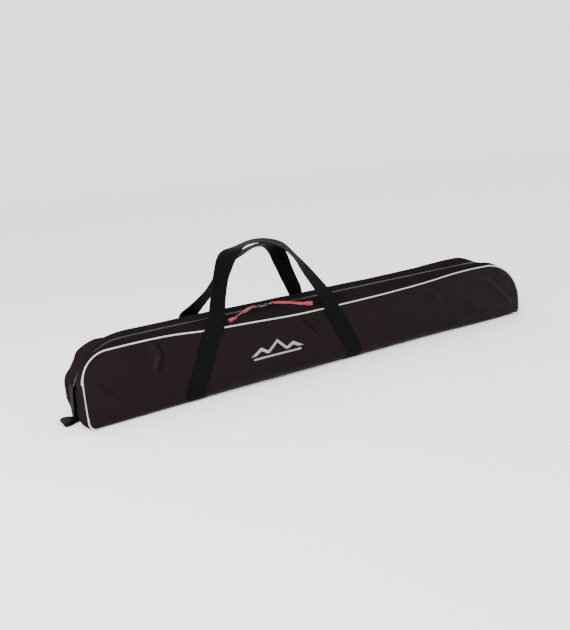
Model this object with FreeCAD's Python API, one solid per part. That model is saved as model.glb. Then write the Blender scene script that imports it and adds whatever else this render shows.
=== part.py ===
"""Long soft ski bag with a two-way zipper along its top, webbing carry handles and an end tab at each end.

Millimetres. The origin is the centre of the base on the surface that the bag lies on: +X runs along the bag
to its right end, -Y is the front face with the printed emblem, and +Z is up.
"""

import FreeCAD
import Part
import math
import os

V = FreeCAD.Vector
OUT = "parts"
os.makedirs(OUT, exist_ok=True)

# Driving dimensions of the body
LENGTH = 1180.0
DEPTH = 130.0
SEAM_HEIGHT = 142.0          # top edge of the front and rear faces, where the piping is sewn
ZIP_HEIGHT = 150.0           # the zipper's tapes, on the ridge of the top
LEFT_CORNER_R = 55.0
RIGHT_CORNER_R = 80.0
BASE_CORNER_R = 10.0
BASE_ROLL_R = 14.0
FABRIC = 2.0                 # outer fabric with its coating
FOAM = 4.0
LINING = 1.0
SEAM_ALLOWANCE = 3.0         # how far foam and lining stop short of the seams
PIPING_R = 2.0
BINDING_WIDTH = 9.0
BINDING_THICKNESS = 0.8

# Webbing
WEBBING = 38.0
WEBBING_T = 1.6
STRAP_LEFT_TOP = -319.0      # centre of each strap at the top seam and at the base
STRAP_LEFT_BASE = -371.0
STRAP_RIGHT_TOP = -27.0
STRAP_RIGHT_BASE = 31.0
HANDLE_HINGE_Z = 130.0       # where the sewn straps end and the free handles start

# Zipper
MOUTH_HALF = 455.0           # the straight part of the zipper runs this far from the centre
LEFT_ZIP_END_Z = 75.0        # the zipper goes round both corners and ends this high
RIGHT_ZIP_END_Z = 55.0
TAPE_EDGE = 12.0
TAPE_T = 0.8
COIL_EDGE = 3.0
COIL_GAP = 0.4
COIL_H = 1.4
STRIP_T = 1.6
FLAP_OUTER_Y = 55.0
FLAP_CLEAR = 0.4
STOP_LENGTH = 4.0            # metal stop across the coils at each end of the zipper
STOP_HALF_W = 4.0
STOP_T = 2.0
SLIDER_LEFT_X = -171.5
SLIDER_RIGHT_X = -154.0
SLIDER_LENGTH = 15.0
SLIDER_HALF_W = 5.6
SLIDER_CORNER_R = 1.6
SLIDER_WALL = 0.8
SLIDER_CLEAR = 0.25          # between the slider's plates and the tapes or coils
WEDGE = 4.5                  # length of the wedge that parts the coils
PLATE_TOP_Z = ZIP_HEIGHT + COIL_H + SLIDER_CLEAR
PLATE_T = 1.2
LOWER_PLATE_T = 1.0
BRIDGE_Z = PLATE_TOP_Z + PLATE_T
BRIDGE_HALF = 3.9
BRIDGE_H = 3.4
BRIDGE_BAR = 1.0
BRIDGE_HALF_W = 0.9
PIN_Z = BRIDGE_Z + 1.25
PIN_R = 0.6
PIN_X = 1.5                  # the pin sits this far from the slider's centre, towards its own end of the bag
ARM_LENGTH = 6.5
ARM_INNER_Y = 1.3
ARM_OUTER_Y = 2.1
PULLER_HALF_T = 0.7
PULL_TAB = 17.0
PULL_TAB_HALF_W = 4.2
PULL_EYE_R = 2.2
PULL_EYE_INSET = 4.0

# End tabs
TAB_BAND = 25.0
TAB_ROOT = 16.0
TAB_WIDTH = 36.0
TAB_REACH = 34.0
TAB_OFFSET = 14.0            # the loops are sewn on behind the middle of each end
TAB_FOLD_R = 3.2
TAB_BAND_FOOT = 9.0          # lower edge of the webbing over the end of the zipper

# Pull cords
CORD_D = 4.0
CORD_END = (16.0, 10.0, 6.4) # length, width, thickness
STRAND_APART = 0.52 * CORD_D # each strand of a doubled cord from their centre line

# Stitched box near the top of each strap
THREAD = 0.8
STITCH_INSET = 5.0
STITCH_BOX_H = 26.0
STITCH_BOX_TOP_Z = 126.0

HALF = LENGTH / 2
FRONT = -DEPTH / 2


def export(shape, name):
    """Writes one node, and says what it is made of."""
    shape.exportStep(os.path.join(OUT, name + ".step"))
    print(f"{name}: {len(shape.Solids)} solid(s), {shape.Volume / 1000:.2f} cm3, valid {shape.isValid()}")


def face_of(edges):
    return Part.Face(Part.Wire(edges))


def box(x0, x1, y0, y1, z0, z1):
    return Part.makeBox(x1 - x0, y1 - y0, z1 - z0, V(x0, y0, z0))


def polygon(points):
    return Part.makePolygon([*points, points[0]])


# ---------------------------------------------------------------- body outline


def outline_face(inset, y=0.0):
    """The bag's side view, a long shape with two large top corners, drawn inside the true edge by inset."""
    left, right = -HALF + inset, HALF - inset
    low, high = inset, SEAM_HEIGHT - inset
    edges, points = [], []
    corners = [
        (left, low, BASE_CORNER_R, 180, 270),
        (right, low, BASE_CORNER_R, 270, 360),
        (right, high, RIGHT_CORNER_R, 0, 90),
        (left, high, LEFT_CORNER_R, 90, 180),
    ]
    for x, z, radius, start, end in corners:
        r = max(radius - inset, 2.0)
        cx = x + r if x < 0 else x - r
        cz = z + r if z < SEAM_HEIGHT / 2 else z - r
        arc = [V(cx + r * math.cos(math.radians(a)), y, cz + r * math.sin(math.radians(a)))
               for a in (start, (start + end) / 2, end)]
        points.append(arc)
    for i, arc in enumerate(points):
        edges.append(Part.Arc(*arc).toShape())
        edges.append(Part.LineSegment(arc[2], points[(i + 1) % 4][0]).toShape())
    return face_of(edges)


def outline_block(inset, y0, y1):
    return outline_face(inset, y0).extrude(V(0, y1 - y0, 0))


def trough(outer, inner, lift=0.0):
    """A U-shaped sheet along the whole bag, between two depths in from the front, base and rear faces."""

    def half_section(depth):
        r = BASE_ROLL_R - min(depth, BASE_ROLL_R - 3)
        y, z = FRONT + depth, depth + lift
        top = SEAM_HEIGHT + 20
        corner = V(-HALF - 5, y + r * (1 - math.cos(math.pi / 4)), z + r * (1 - math.sin(math.pi / 4)))
        mirrored = V(corner.x, -corner.y, corner.z)
        return face_of([
            Part.LineSegment(V(-HALF - 5, y, top), V(-HALF - 5, y, z + r)).toShape(),
            Part.Arc(V(-HALF - 5, y, z + r), corner, V(-HALF - 5, y + r, z)).toShape(),
            Part.LineSegment(V(-HALF - 5, y + r, z), V(-HALF - 5, -y - r, z)).toShape(),
            Part.Arc(V(-HALF - 5, -y - r, z), mirrored, V(-HALF - 5, -y, z + r)).toShape(),
            Part.LineSegment(V(-HALF - 5, -y, z + r), V(-HALF - 5, -y, top)).toShape(),
            Part.LineSegment(V(-HALF - 5, -y, top), V(-HALF - 5, y, top)).toShape(),
        ])

    along = V(LENGTH + 10, 0, 0)
    return half_section(outer).extrude(along).cut(half_section(inner).extrude(along))


# ---------------------------------------------------------------- webbing on the body


def slanted_block(top_x, base_x, y0, y1):
    """A webbing-wide prism that leans along X, from the hinge line down to the base."""
    slope = (base_x - top_x) / HANDLE_HINGE_Z
    half = WEBBING / 2 / math.cos(math.atan(slope))
    points = [V(base_x - half, y0, 0), V(base_x + half, y0, 0),
              V(top_x + half, y0, HANDLE_HINGE_Z), V(top_x - half, y0, HANDLE_HINGE_Z)]
    return Part.Face(polygon(points)).extrude(V(0, y1 - y0, 0))


def sewn_strap(top_x, base_x):
    """One webbing strap on the outer fabric: up the front face, under the base and up the rear face."""
    roll = DEPTH / 2 - BASE_ROLL_R
    region = slanted_block(top_x, base_x, FRONT - 5, -roll)
    region = region.fuse(slanted_block(top_x, base_x, roll, -FRONT + 5))
    region = region.fuse(box(base_x - WEBBING / 2, base_x + WEBBING / 2, -roll, roll, 0, 8))
    sheet = trough(-WEBBING_T, 0.0, lift=WEBBING_T)
    return sheet.common(region).removeSplitter()


def stitch_frame(top_x, base_x, side):
    """The sewn box near the top of a strap, as a thin raised frame of thread with a cross in it."""
    slope = (base_x - top_x) / HANDLE_HINGE_Z
    y = side * (DEPTH / 2 + WEBBING_T)
    z0, z1 = STITCH_BOX_TOP_Z - STITCH_BOX_H, STITCH_BOX_TOP_Z

    def bar(a, b):
        direction = (b - a).normalize()
        across = V(-direction.z, 0, direction.x) * (THREAD / 2)
        loop = polygon([a + across, b + across, b - across, a - across])
        return Part.Face(loop).extrude(V(0, side * THREAD / 2, 0))

    def at(u, z):
        return V(top_x + slope * (HANDLE_HINGE_Z - z) + u, y, z)

    reach = WEBBING / 2 - STITCH_INSET
    corners = [at(-reach, z0), at(reach, z0), at(reach, z1), at(-reach, z1)]
    bars = [bar(corners[i], corners[(i + 1) % 4]) for i in range(4)]
    bars += [bar(corners[0], corners[2]), bar(corners[1], corners[3])]
    frame = bars[0]
    for piece in bars[1:]:
        frame = frame.fuse(piece)
    return frame.removeSplitter()


# ---------------------------------------------------------------- top strips and end gussets


def corner_radius(side):
    return LEFT_CORNER_R if side < 0 else RIGHT_CORNER_R


def zip_end_z(side):
    return LEFT_ZIP_END_Z if side < 0 else RIGHT_ZIP_END_Z


def band_wire(side, y, z_low, height, thickness, lift=0.0):
    """A closed wire in a plane of constant Y: up one end, round its top corner and in along the top."""
    radius = corner_radius(side) + height - SEAM_HEIGHT

    def rim(depth):
        x = side * (HALF - depth)
        r = radius - depth
        centre = V(side * (HALF - radius), y, height - radius)
        mid = V(centre.x + side * r * math.cos(math.pi / 4), y, centre.z + r * math.sin(math.pi / 4))
        return [V(x, y, z_low), V(x, y, centre.z), mid, V(centre.x, y, height - depth),
                V(side * MOUTH_HALF, y, height - depth)]

    a, b = rim(-lift), rim(thickness - lift)
    return Part.Wire([
        Part.LineSegment(a[0], a[1]).toShape(), Part.Arc(a[1], a[2], a[3]).toShape(),
        Part.LineSegment(a[3], a[4]).toShape(), Part.LineSegment(a[4], b[4]).toShape(),
        Part.LineSegment(b[4], b[3]).toShape(), Part.Arc(b[3], b[2], b[1]).toShape(),
        Part.LineSegment(b[1], b[0]).toShape(), Part.LineSegment(b[0], a[0]).toShape(),
    ])


def end_gusset(side, face):
    """Half of an end gusset: it slopes from the seam to the zipper, and closes the end below it."""
    outer = band_wire(side, face * (DEPTH / 2 - FABRIC - 0.2), BASE_CORNER_R, SEAM_HEIGHT, STRIP_T)
    inner = band_wire(side, face * (TAPE_EDGE + 0.2), BASE_CORNER_R, ZIP_HEIGHT, STRIP_T)
    band = Part.makeLoft([outer, inner], True, True)
    x0, x1 = sorted((side * (HALF - STRIP_T), side * HALF))
    y0, y1 = sorted((face * 0.1, face * (TAPE_EDGE + 0.3)))
    return band.fuse(box(x0, x1, y0, y1, BASE_CORNER_R, zip_end_z(side) - 0.2)).removeSplitter()


def end_tape(side):
    """The two zipper tapes over one corner, down to the zipper's end."""
    halves = []
    for face in (-1, 1):
        wire = band_wire(side, face * COIL_GAP, zip_end_z(side), ZIP_HEIGHT, TAPE_T)
        halves.append(Part.Face(wire).extrude(V(0, face * (TAPE_EDGE - COIL_GAP), 0)))
    return Part.makeCompound(halves)


def end_coil(side):
    halves = []
    for face in (-1, 1):
        low = zip_end_z(side) + STOP_LENGTH
        wire = band_wire(side, face * COIL_GAP, low, ZIP_HEIGHT, COIL_H, lift=COIL_H)
        halves.append(Part.Face(wire).extrude(V(0, face * (COIL_EDGE - COIL_GAP), 0)))
    return Part.makeCompound(halves)


def end_stop(side):
    x0, x1 = sorted((side * HALF, side * (HALF + STOP_T)))
    low = zip_end_z(side) + 0.2
    return box(x0, x1, -STOP_HALF_W, STOP_HALF_W, low, low + STOP_LENGTH - 0.4)


def top_strip(face):
    """The long strip between one seam and the zipper, free to drop into the bag when the zipper is open."""
    section = [V(-MOUTH_HALF + FLAP_CLEAR, face * y, z) for y, z in (
        (FLAP_OUTER_Y, SEAM_HEIGHT - 1.0 - STRIP_T), (FLAP_OUTER_Y, SEAM_HEIGHT - 1.0),
        (TAPE_EDGE + 0.2, ZIP_HEIGHT), (TAPE_EDGE + 0.2, ZIP_HEIGHT - STRIP_T))]
    return Part.Face(polygon(section)).extrude(V(2 * (MOUTH_HALF - FLAP_CLEAR), 0, 0))


def mouth_bar(face, inner, outer, z0, z1):
    y0, y1 = sorted((face * inner, face * outer))
    reach = MOUTH_HALF - FLAP_CLEAR
    return box(-reach, reach, y0, y1, z0, z1)


# ---------------------------------------------------------------- piping and seam binding


def piping(face):
    """Covered cord sewn round one side of the bag: its ends meet under the tab at the middle of each end."""
    y = face * (DEPTH / 2 + 0.8)
    grow, turn = 0.8, 7.0
    low = 2.4
    left, right = -HALF - grow, HALF + grow
    top = SEAM_HEIGHT + grow
    edges = []

    def turn_under(x):
        start = V(x, y, low + turn)
        end = V(x, y - face * turn, low)
        mid = V(x, y - face * turn * (1 - math.cos(math.pi / 4)), low + turn * (1 - math.sin(math.pi / 4)))
        return start, mid, end

    r1, r2 = LEFT_CORNER_R + grow, RIGHT_CORNER_R + grow
    a = turn_under(left)
    b = turn_under(right)
    edges.append(Part.LineSegment(V(left, face * 0.3, low), a[2]).toShape())
    edges.append(Part.Arc(a[2], a[1], a[0]).toShape())
    edges.append(Part.LineSegment(a[0], V(left, y, top - r1)).toShape())
    s = math.sin(math.pi / 4)
    edges.append(Part.Arc(V(left, y, top - r1), V(left + r1 * (1 - s), y, top - r1 * (1 - s)),
                          V(left + r1, y, top)).toShape())
    edges.append(Part.LineSegment(V(left + r1, y, top), V(right - r2, y, top)).toShape())
    edges.append(Part.Arc(V(right - r2, y, top), V(right - r2 * (1 - s), y, top - r2 * (1 - s)),
                          V(right, y, top - r2)).toShape())
    edges.append(Part.LineSegment(V(right, y, top - r2), b[0]).toShape())
    edges.append(Part.Arc(b[0], b[1], b[2]).toShape())
    edges.append(Part.LineSegment(b[2], V(right, face * 0.3, low)).toShape())
    return tube(edges, PIPING_R)


def tube(edges, radius):
    path = Part.Wire(edges)
    first = path.OrderedEdges[0]
    start = path.OrderedVertexes[0].Point
    tangent = first.tangentAt(first.FirstParameter)
    profile = Part.Wire([Part.Circle(start, tangent, radius).toShape()])
    return path.makePipeShell([profile], True, False)


def seam_binding(face):
    """Tape over the raw seam, flat against the lining inside."""
    inner_face = DEPTH / 2 - FABRIC - FOAM - LINING
    y0, y1 = sorted((face * inner_face, face * (inner_face - BINDING_THICKNESS)))
    inside = outline_block(SEAM_ALLOWANCE + BINDING_WIDTH, y0 - 1, y1 + 1)
    ring = outline_block(SEAM_ALLOWANCE, y0, y1).cut(inside)
    return ring.cut(box(-HALF - 5, HALF + 5, -DEPTH, DEPTH, -5, BASE_ROLL_R + 4))


# ---------------------------------------------------------------- end tabs


def tab_band(side):
    """Webbing sewn over the zipper's end and down the end of the bag."""
    x0, x1 = sorted((side * HALF, side * (HALF + WEBBING_T)))
    y = TAB_OFFSET / 2
    return box(x0, x1, y - TAB_BAND / 2, y + TAB_BAND / 2, TAB_BAND_FOOT, zip_end_z(side))


def loop_profile(root, tip, side, radius, root_half):
    """Side view of a flat loop of webbing, pinched at its root and round at its tip."""
    y, centre = -DEPTH, 0.2 + TAB_FOLD_R
    bend = tip - side * TAB_FOLD_R
    low, high = centre - radius, centre + radius
    return face_of([
        Part.LineSegment(V(root, y, centre - root_half), V(bend, y, low)).toShape(),
        Part.Arc(V(bend, y, low), V(bend + side * radius, y, centre), V(bend, y, high)).toShape(),
        Part.LineSegment(V(bend, y, high), V(root, y, centre + root_half)).toShape(),
        Part.LineSegment(V(root, y, centre + root_half), V(root, y, centre - root_half)).toShape(),
    ])


def tab_loop(side):
    """The webbing doubled into a flat grab loop at the foot of the end, gathered where it is sewn on."""
    root = side * (HALF + 3.0)
    tip = side * (HALF + TAB_REACH)
    across = V(0, 2 * DEPTH, 0)
    outside = loop_profile(root, tip, side, TAB_FOLD_R, WEBBING_T).extrude(across)
    inside = loop_profile(root + side * 8, tip, side, TAB_FOLD_R - WEBBING_T, 0.8).extrude(across)
    plan = [V(root, TAB_OFFSET - TAB_ROOT / 2, -1), V(root, TAB_OFFSET + TAB_ROOT / 2, -1),
            V(tip, TAB_OFFSET + TAB_WIDTH / 2, -1), V(tip, TAB_OFFSET - TAB_WIDTH / 2, -1)]
    return outside.cut(inside).common(Part.Face(polygon(plan)).extrude(V(0, 0, 20)))


# ---------------------------------------------------------------- carry handles

# Centre line of each free handle, from the left strap over the top to the right strap, with the turn in
# degrees of the webbing about it: 0 lies flat against the bag's face and 90 lies with its width across it.
FRONT_HANDLE = [
    (-319, -67.8, 130.6, 0), (-316, -72, 142, 0), (-307, -62, 163, -2), (-285, -41, 211, -6),
    (-265, -25, 248, 2), (-243, -14, 275, 46), (-210, -7, 291, 90), (-168, -4, 297, 84),
    (-134, -6, 292, 72), (-104, -12, 278.5, 60), (-83, -22, 253.5, 55), (-65, -35, 221, 38),
    (-48, -50, 188, 27), (-35, -63, 160, 11), (-29, -72, 142, 0), (-27, -67.8, 130.6, 0),
]
REAR_HANDLE = [
    (-319, 67.8, 130.6, 0), (-315, 72, 142, 0), (-300, 65, 160, 24), (-267, 53, 192, 38),
    (-242, 43, 227, 44), (-216, 34, 256.5, 52), (-184, 25, 274, 58), (-152, 20, 284, 70),
    (-122, 22, 279.5, 76), (-99, 28, 263, 54), (-84, 34, 238, 16), (-68, 43, 208, 4),
    (-52, 53, 183, 0), (-36, 64.5, 158, 0), (-30, 72, 142, 0), (-27, 67.8, 130.6, 0),
]


def webbing_section(before, here, after, twist, side):
    """A webbing rectangle square to the handle's centre line, turned by twist degrees."""
    along = (after - before).normalize()
    across = V(0, 1, 0) - along * along.y
    across.normalize()
    flat = across.cross(along).normalize()
    turn = math.radians(twist)
    wide = (flat * math.cos(turn) + across * (side * math.sin(turn))) * (WEBBING / 2)
    thick = along.cross(wide).normalize() * (WEBBING_T / 2)
    return polygon([here + wide + thick, here - wide + thick, here - wide - thick, here + wide - thick])


def level_section(here, climb):
    """The same rectangle where the webbing leaves its strap, level along the hinge."""
    wide, thick = V(math.copysign(WEBBING / 2, climb), 0, 0), V(0, WEBBING_T / 2, 0)
    return polygon([here + wide + thick, here - wide + thick, here - wide - thick, here + wide - thick])


def carry_handle(route, side):
    """Free webbing of one handle. Its first two and last two sections are level, so that it swings clear."""
    points = [V(*p[:3]) for p in route]
    last = len(points) - 1
    sections = []
    for i, point in enumerate(points):
        before, after = points[max(i - 1, 0)], points[min(i + 1, last)]
        if i < 2 or i > last - 2:
            sections.append(level_section(point, after.z - before.z))
        else:
            sections.append(webbing_section(before, point, after, route[i][3], side))
    spans = [Part.makeLoft(sections[i:i + 2], True, True) for i in range(last)]
    return spans[0].multiFuse(spans[1:])


# ---------------------------------------------------------------- sliders and pulls

def rounded_plate(half_x, half_y, radius, z0, z1):
    plate = box(-half_x, half_x, -half_y, half_y, z0, z1)
    return plate.makeFillet(radius, [e for e in plate.Edges if abs(e.tangentAt(e.FirstParameter).z) > 0.9])


def slider(x, side):
    """Slider: top and bottom plates, flanges, the wedge between the coils and the puller's bridge."""
    half, past = SLIDER_LENGTH / 2, SLIDER_LENGTH
    low = ZIP_HEIGHT - TAPE_T - SLIDER_CLEAR
    inside = SLIDER_HALF_W - SLIDER_WALL
    body = rounded_plate(half, SLIDER_HALF_W, SLIDER_CORNER_R, PLATE_TOP_Z, BRIDGE_Z)
    body = body.fuse(rounded_plate(half, SLIDER_HALF_W, SLIDER_CORNER_R, low - LOWER_PLATE_T, low))
    rims = rounded_plate(half, SLIDER_HALF_W, SLIDER_CORNER_R, low, PLATE_TOP_Z)
    rims = rims.cut(box(-past, past, -inside, inside, low - 1, PLATE_TOP_Z + 1))
    rims = rims.cut(box(-past, past, -past, past, ZIP_HEIGHT - TAPE_T - 0.1, ZIP_HEIGHT + 0.3))
    x0, x1 = sorted((-side * (half - WEDGE), -side * half))
    wedge_half = 0.6 * COIL_GAP
    wedge = box(x0, x1, -wedge_half, wedge_half, low, PLATE_TOP_Z)
    bridge = box(-BRIDGE_HALF, BRIDGE_HALF, -BRIDGE_HALF_W, BRIDGE_HALF_W, BRIDGE_Z, BRIDGE_Z + BRIDGE_H)
    under = BRIDGE_HALF - 1.4 * BRIDGE_BAR
    bridge = bridge.cut(box(-under, under, -past, past, BRIDGE_Z, BRIDGE_Z + BRIDGE_H - BRIDGE_BAR))
    body = body.multiFuse([rims, wedge, bridge]).removeSplitter()
    body.translate(V(x, 0, 0))
    return body


def puller(x, side):
    """Metal puller: a fork and pin on the slider's bridge, and a flat tab with an eye for the cord."""
    low, high = PIN_Z - PULLER_HALF_T, PIN_Z + PULLER_HALF_T
    puller_body = Part.makeCylinder(PIN_R, 2 * ARM_OUTER_Y, V(side * PIN_X, -ARM_OUTER_Y, PIN_Z), V(0, 1, 0))
    for face in (-1, 1):
        y0, y1 = sorted((face * ARM_INNER_Y, face * ARM_OUTER_Y))
        x0, x1 = sorted((side * PIN_X, side * (PIN_X + ARM_LENGTH + PIN_R)))
        knuckle = Part.makeCylinder(PIN_R + 0.35, y1 - y0, V(side * PIN_X, y0, PIN_Z), V(0, 1, 0))
        puller_body = puller_body.fuse(knuckle).fuse(box(x0, x1, y0, y1, low, high))
    x0, x1 = sorted((side * (PIN_X + ARM_LENGTH), side * (PIN_X + PULL_TAB)))
    tab = box(x0, x1, -PULL_TAB_HALF_W, PULL_TAB_HALF_W, low, high)
    tab = tab.makeFillet(1.5, [e for e in tab.Edges if abs(e.tangentAt(e.FirstParameter).z) > 0.9])
    eye_x = side * (PIN_X + PULL_TAB - PULL_EYE_INSET)
    eye = Part.makeCylinder(PULL_EYE_R, 4, V(eye_x, 0, PIN_Z - 2), V(0, 0, 1))
    puller_body = puller_body.fuse(tab.cut(eye)).removeSplitter()
    puller_body.translate(V(x, 0, 0))
    return puller_body


# Centre line of each doubled pull cord, from the puller's tab to the moulded end, as steps from the tab's
# tip: away from the slider, towards the front, down, and the pair's roll in degrees, rear strand higher.
PULL_ROUTES = {
    -1: [(0, 0, 0, 0), (9, -4, 0.3, 14), (24, -16, -0.6, 34), (41, -29, -2.6, 36), (58, -40, -4.4, 26),
         (71, -46.5, -5.2, 15)],
    1: [(0, 0, 0, 0), (9, -4, 0.3, 14), (20, -16, -0.8, 34), (33, -29.5, -3.0, 36), (45, -40, -4.6, 26),
        (55, -46.5, -5.3, 15)],
}


def pull_line(x, side):
    """Centre points of a pull's cord, with the direction from one strand to the other at each."""
    start = V(x + side * (PIN_X + PULL_TAB), 0, PIN_Z)
    centre = [start + V(side * a, b, c) for a, b, c, _ in PULL_ROUTES[side]]
    apart = []
    for i, step in enumerate(PULL_ROUTES[side]):
        along = (centre[min(i + 1, len(centre) - 1)] - centre[max(i - 1, 0)]).normalize()
        level = V(-along.y, along.x, 0).normalize()
        roll = math.radians(step[3])
        apart.append(level * math.cos(roll) + V(0, 0, math.copysign(math.sin(roll), level.y)))
    return centre, apart


def strand_route(x, side, offset):
    """One strand of a doubled cord, beside its centre line by offset."""
    return [point + away * offset for point, away in zip(*pull_line(x, side))]


def rounded_path(route, name):
    """Straight runs joined by tangent arcs as large as the runs allow."""
    edges, last, radii = [], route[0], []
    for before, corner, after in zip(route, route[1:], route[2:]):
        back, ahead = (before - corner), (after - corner)
        trim = 0.45 * min(back.Length, ahead.Length)
        turn = math.pi - back.getAngle(ahead)
        radii.append(trim / math.tan(turn / 2))
        a = corner + back.normalize() * trim
        b = corner + ahead.normalize() * trim
        middle = (a + b) * 0.5
        away = (middle - corner).Length
        centre = corner + (middle - corner) * ((radii[-1] ** 2 + trim ** 2) ** 0.5 / away)
        top = centre + (corner - centre).normalize() * radii[-1]
        edges.append(Part.LineSegment(last, a).toShape())
        edges.append(Part.Arc(a, top, b).toShape())
        last = b
    edges.append(Part.LineSegment(last, route[-1]).toShape())
    length = sum(e.Length for e in edges)
    print(f"{name}: length {length:.1f}, radii {[round(r) for r in radii]}")
    return edges, length


def cord(x, side, offset, name):
    edges, length = rounded_path(strand_route(x, side, offset), name)
    strand = tube(edges, CORD_D / 2)
    ideal = math.pi * (CORD_D / 2) ** 2 * length
    print(f"{name}: volume {strand.Volume:.1f} for {ideal:.1f}")
    return strand


def cord_end(x, side):
    """The moulded end that both strands of a pull cord go into."""
    length, width, thickness = CORD_END
    centre, apart = pull_line(x, side)
    b = centre[-1]
    along = (b - centre[-2]).normalize()
    up = along.cross(apart[-1]).normalize()
    across = up.cross(along)
    block = Part.makeBox(length, width, thickness)
    block = block.makeFillet(0.35 * thickness, [e for e in block.Edges if e.Length == length])
    block.translate(V(0, -width / 2, -thickness / 2))
    place = FreeCAD.Matrix(along.x, across.x, up.x, b.x, along.y, across.y, up.y, b.y,
                           along.z, across.z, up.z, b.z, 0, 0, 0, 1)
    return block.transformGeometry(place)


# ---------------------------------------------------------------- printed emblem


def emblem():
    """Generic print on the front face: a ridge of three peaks over a ground line."""
    y = FRONT
    x, z, wide = -240.0, 56.0, 132.0
    peaks = [(0.0, 9.0), (0.2, 25.0), (0.33, 15.0), (0.5, 36.0), (0.68, 14.0), (0.8, 23.0), (1.0, 9.0)]
    top = [V(x + wide * u, y, z + h) for u, h in peaks]
    low = [V(p.x, y, max(p.z - 7.5, z + 9.0) if 0 < i < len(top) - 1 else z + 8.0)
           for i, p in enumerate(top)]
    ridge = Part.Face(polygon(top + low[::-1])).extrude(V(0, -0.25, 0))
    ground = box(x + 6, x + wide - 6, y - 0.25, y, z, z + 4.0)
    return Part.makeCompound([ridge, ground])


# ---------------------------------------------------------------- build everything

straps = {
    "sewn_strap_left": sewn_strap(STRAP_LEFT_TOP, STRAP_LEFT_BASE),
    "sewn_strap_right": sewn_strap(STRAP_RIGHT_TOP, STRAP_RIGHT_BASE),
}
outer = trough(0, FABRIC).common(outline_block(0, FRONT - 5, -FRONT + 5))
for strap in straps.values():
    outer = outer.cut(strap)
foam = trough(FABRIC, FABRIC + FOAM).common(outline_block(SEAM_ALLOWANCE, FRONT - 5, -FRONT + 5))
lining = trough(FABRIC + FOAM, FABRIC + FOAM + LINING)
lining = lining.common(outline_block(SEAM_ALLOWANCE, FRONT - 5, -FRONT + 5))
split = BASE_ROLL_R + 2

export(outer, "outer_shell")
export(foam.common(box(-HALF, HALF, FRONT, 0, split, 200)), "foam_front")
export(foam.common(box(-HALF, HALF, 0, -FRONT, split, 200)), "foam_rear")
export(foam.common(box(-HALF, HALF, FRONT, -FRONT, 0, split - 0.2)), "foam_base")
export(lining, "lining")
for strap_name, strap in straps.items():
    export(strap, strap_name)
frames = [stitch_frame(top, base, side)
          for top, base in ((STRAP_LEFT_TOP, STRAP_LEFT_BASE), (STRAP_RIGHT_TOP, STRAP_RIGHT_BASE))
          for side in (-1, 1)]
export(Part.makeCompound(frames), "strap_stitching")

for end_name, side in (("left", -1), ("right", 1)):
    export(end_gusset(side, -1), f"{end_name}_end_gusset_front")
    export(end_gusset(side, 1), f"{end_name}_end_gusset_rear")
    export(end_tape(side), f"{end_name}_end_zip_tapes")
    export(end_coil(side), f"{end_name}_end_zip_coils")
    export(end_stop(side), f"{end_name}_end_zip_stop")
    export(tab_band(side), f"{end_name}_end_tab_band")
    export(tab_loop(side), f"{end_name}_end_tab_loop")

for face_name, face in (("front", -1), ("rear", 1)):
    export(piping(face), f"{face_name}_piping")
    export(seam_binding(face), f"{face_name}_seam_binding")
    export(top_strip(face), f"{face_name}_top_strip")
    export(mouth_bar(face, COIL_GAP, TAPE_EDGE, ZIP_HEIGHT - TAPE_T, ZIP_HEIGHT), f"{face_name}_zip_tape")
    export(mouth_bar(face, COIL_GAP, COIL_EDGE, ZIP_HEIGHT, ZIP_HEIGHT + COIL_H), f"{face_name}_zip_coil")

export(carry_handle(FRONT_HANDLE, -1), "front_handle")
export(carry_handle(REAR_HANDLE, 1), "rear_handle")

for pull_name, x, side in (("left", SLIDER_LEFT_X, -1), ("right", SLIDER_RIGHT_X, 1)):
    export(slider(x, side), f"{pull_name}_slider")
    export(puller(x, side), f"{pull_name}_puller")
    export(cord(x, side, -STRAND_APART, f"{pull_name}_pull_cord_a"), f"{pull_name}_pull_cord_a")
    export(cord(x, side, STRAND_APART, f"{pull_name}_pull_cord_b"), f"{pull_name}_pull_cord_b")
    export(cord_end(x, side), f"{pull_name}_pull_end")

export(emblem(), "printed_emblem")
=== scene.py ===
"""Long soft ski bag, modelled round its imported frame: fabric, zipper, webbing, piping and pull cords."""

import math

import bpy
import numpy as np
from bpy.props import FloatProperty, FloatVectorProperty, PointerProperty
from mathutils import Matrix, Vector


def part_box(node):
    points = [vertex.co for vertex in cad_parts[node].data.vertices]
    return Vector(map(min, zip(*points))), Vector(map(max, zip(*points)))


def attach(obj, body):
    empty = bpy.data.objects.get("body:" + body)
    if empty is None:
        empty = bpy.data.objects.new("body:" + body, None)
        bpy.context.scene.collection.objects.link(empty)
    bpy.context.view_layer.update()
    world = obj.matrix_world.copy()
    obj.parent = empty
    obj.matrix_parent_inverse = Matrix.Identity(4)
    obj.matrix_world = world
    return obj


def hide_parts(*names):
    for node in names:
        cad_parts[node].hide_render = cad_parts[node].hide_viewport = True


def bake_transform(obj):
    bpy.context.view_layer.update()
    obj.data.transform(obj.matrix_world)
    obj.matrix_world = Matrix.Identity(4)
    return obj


bl_info = {
    "name": "Ski Bag",
    "version": (1, 0, 0),
    "blender": (4, 5, 0),
    "location": "View3D > Sidebar > Ski Bag",
    "description": "Builds a soft ski bag with a two-way zipper round its packed frame",
    "category": "Add Mesh",
}

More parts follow.
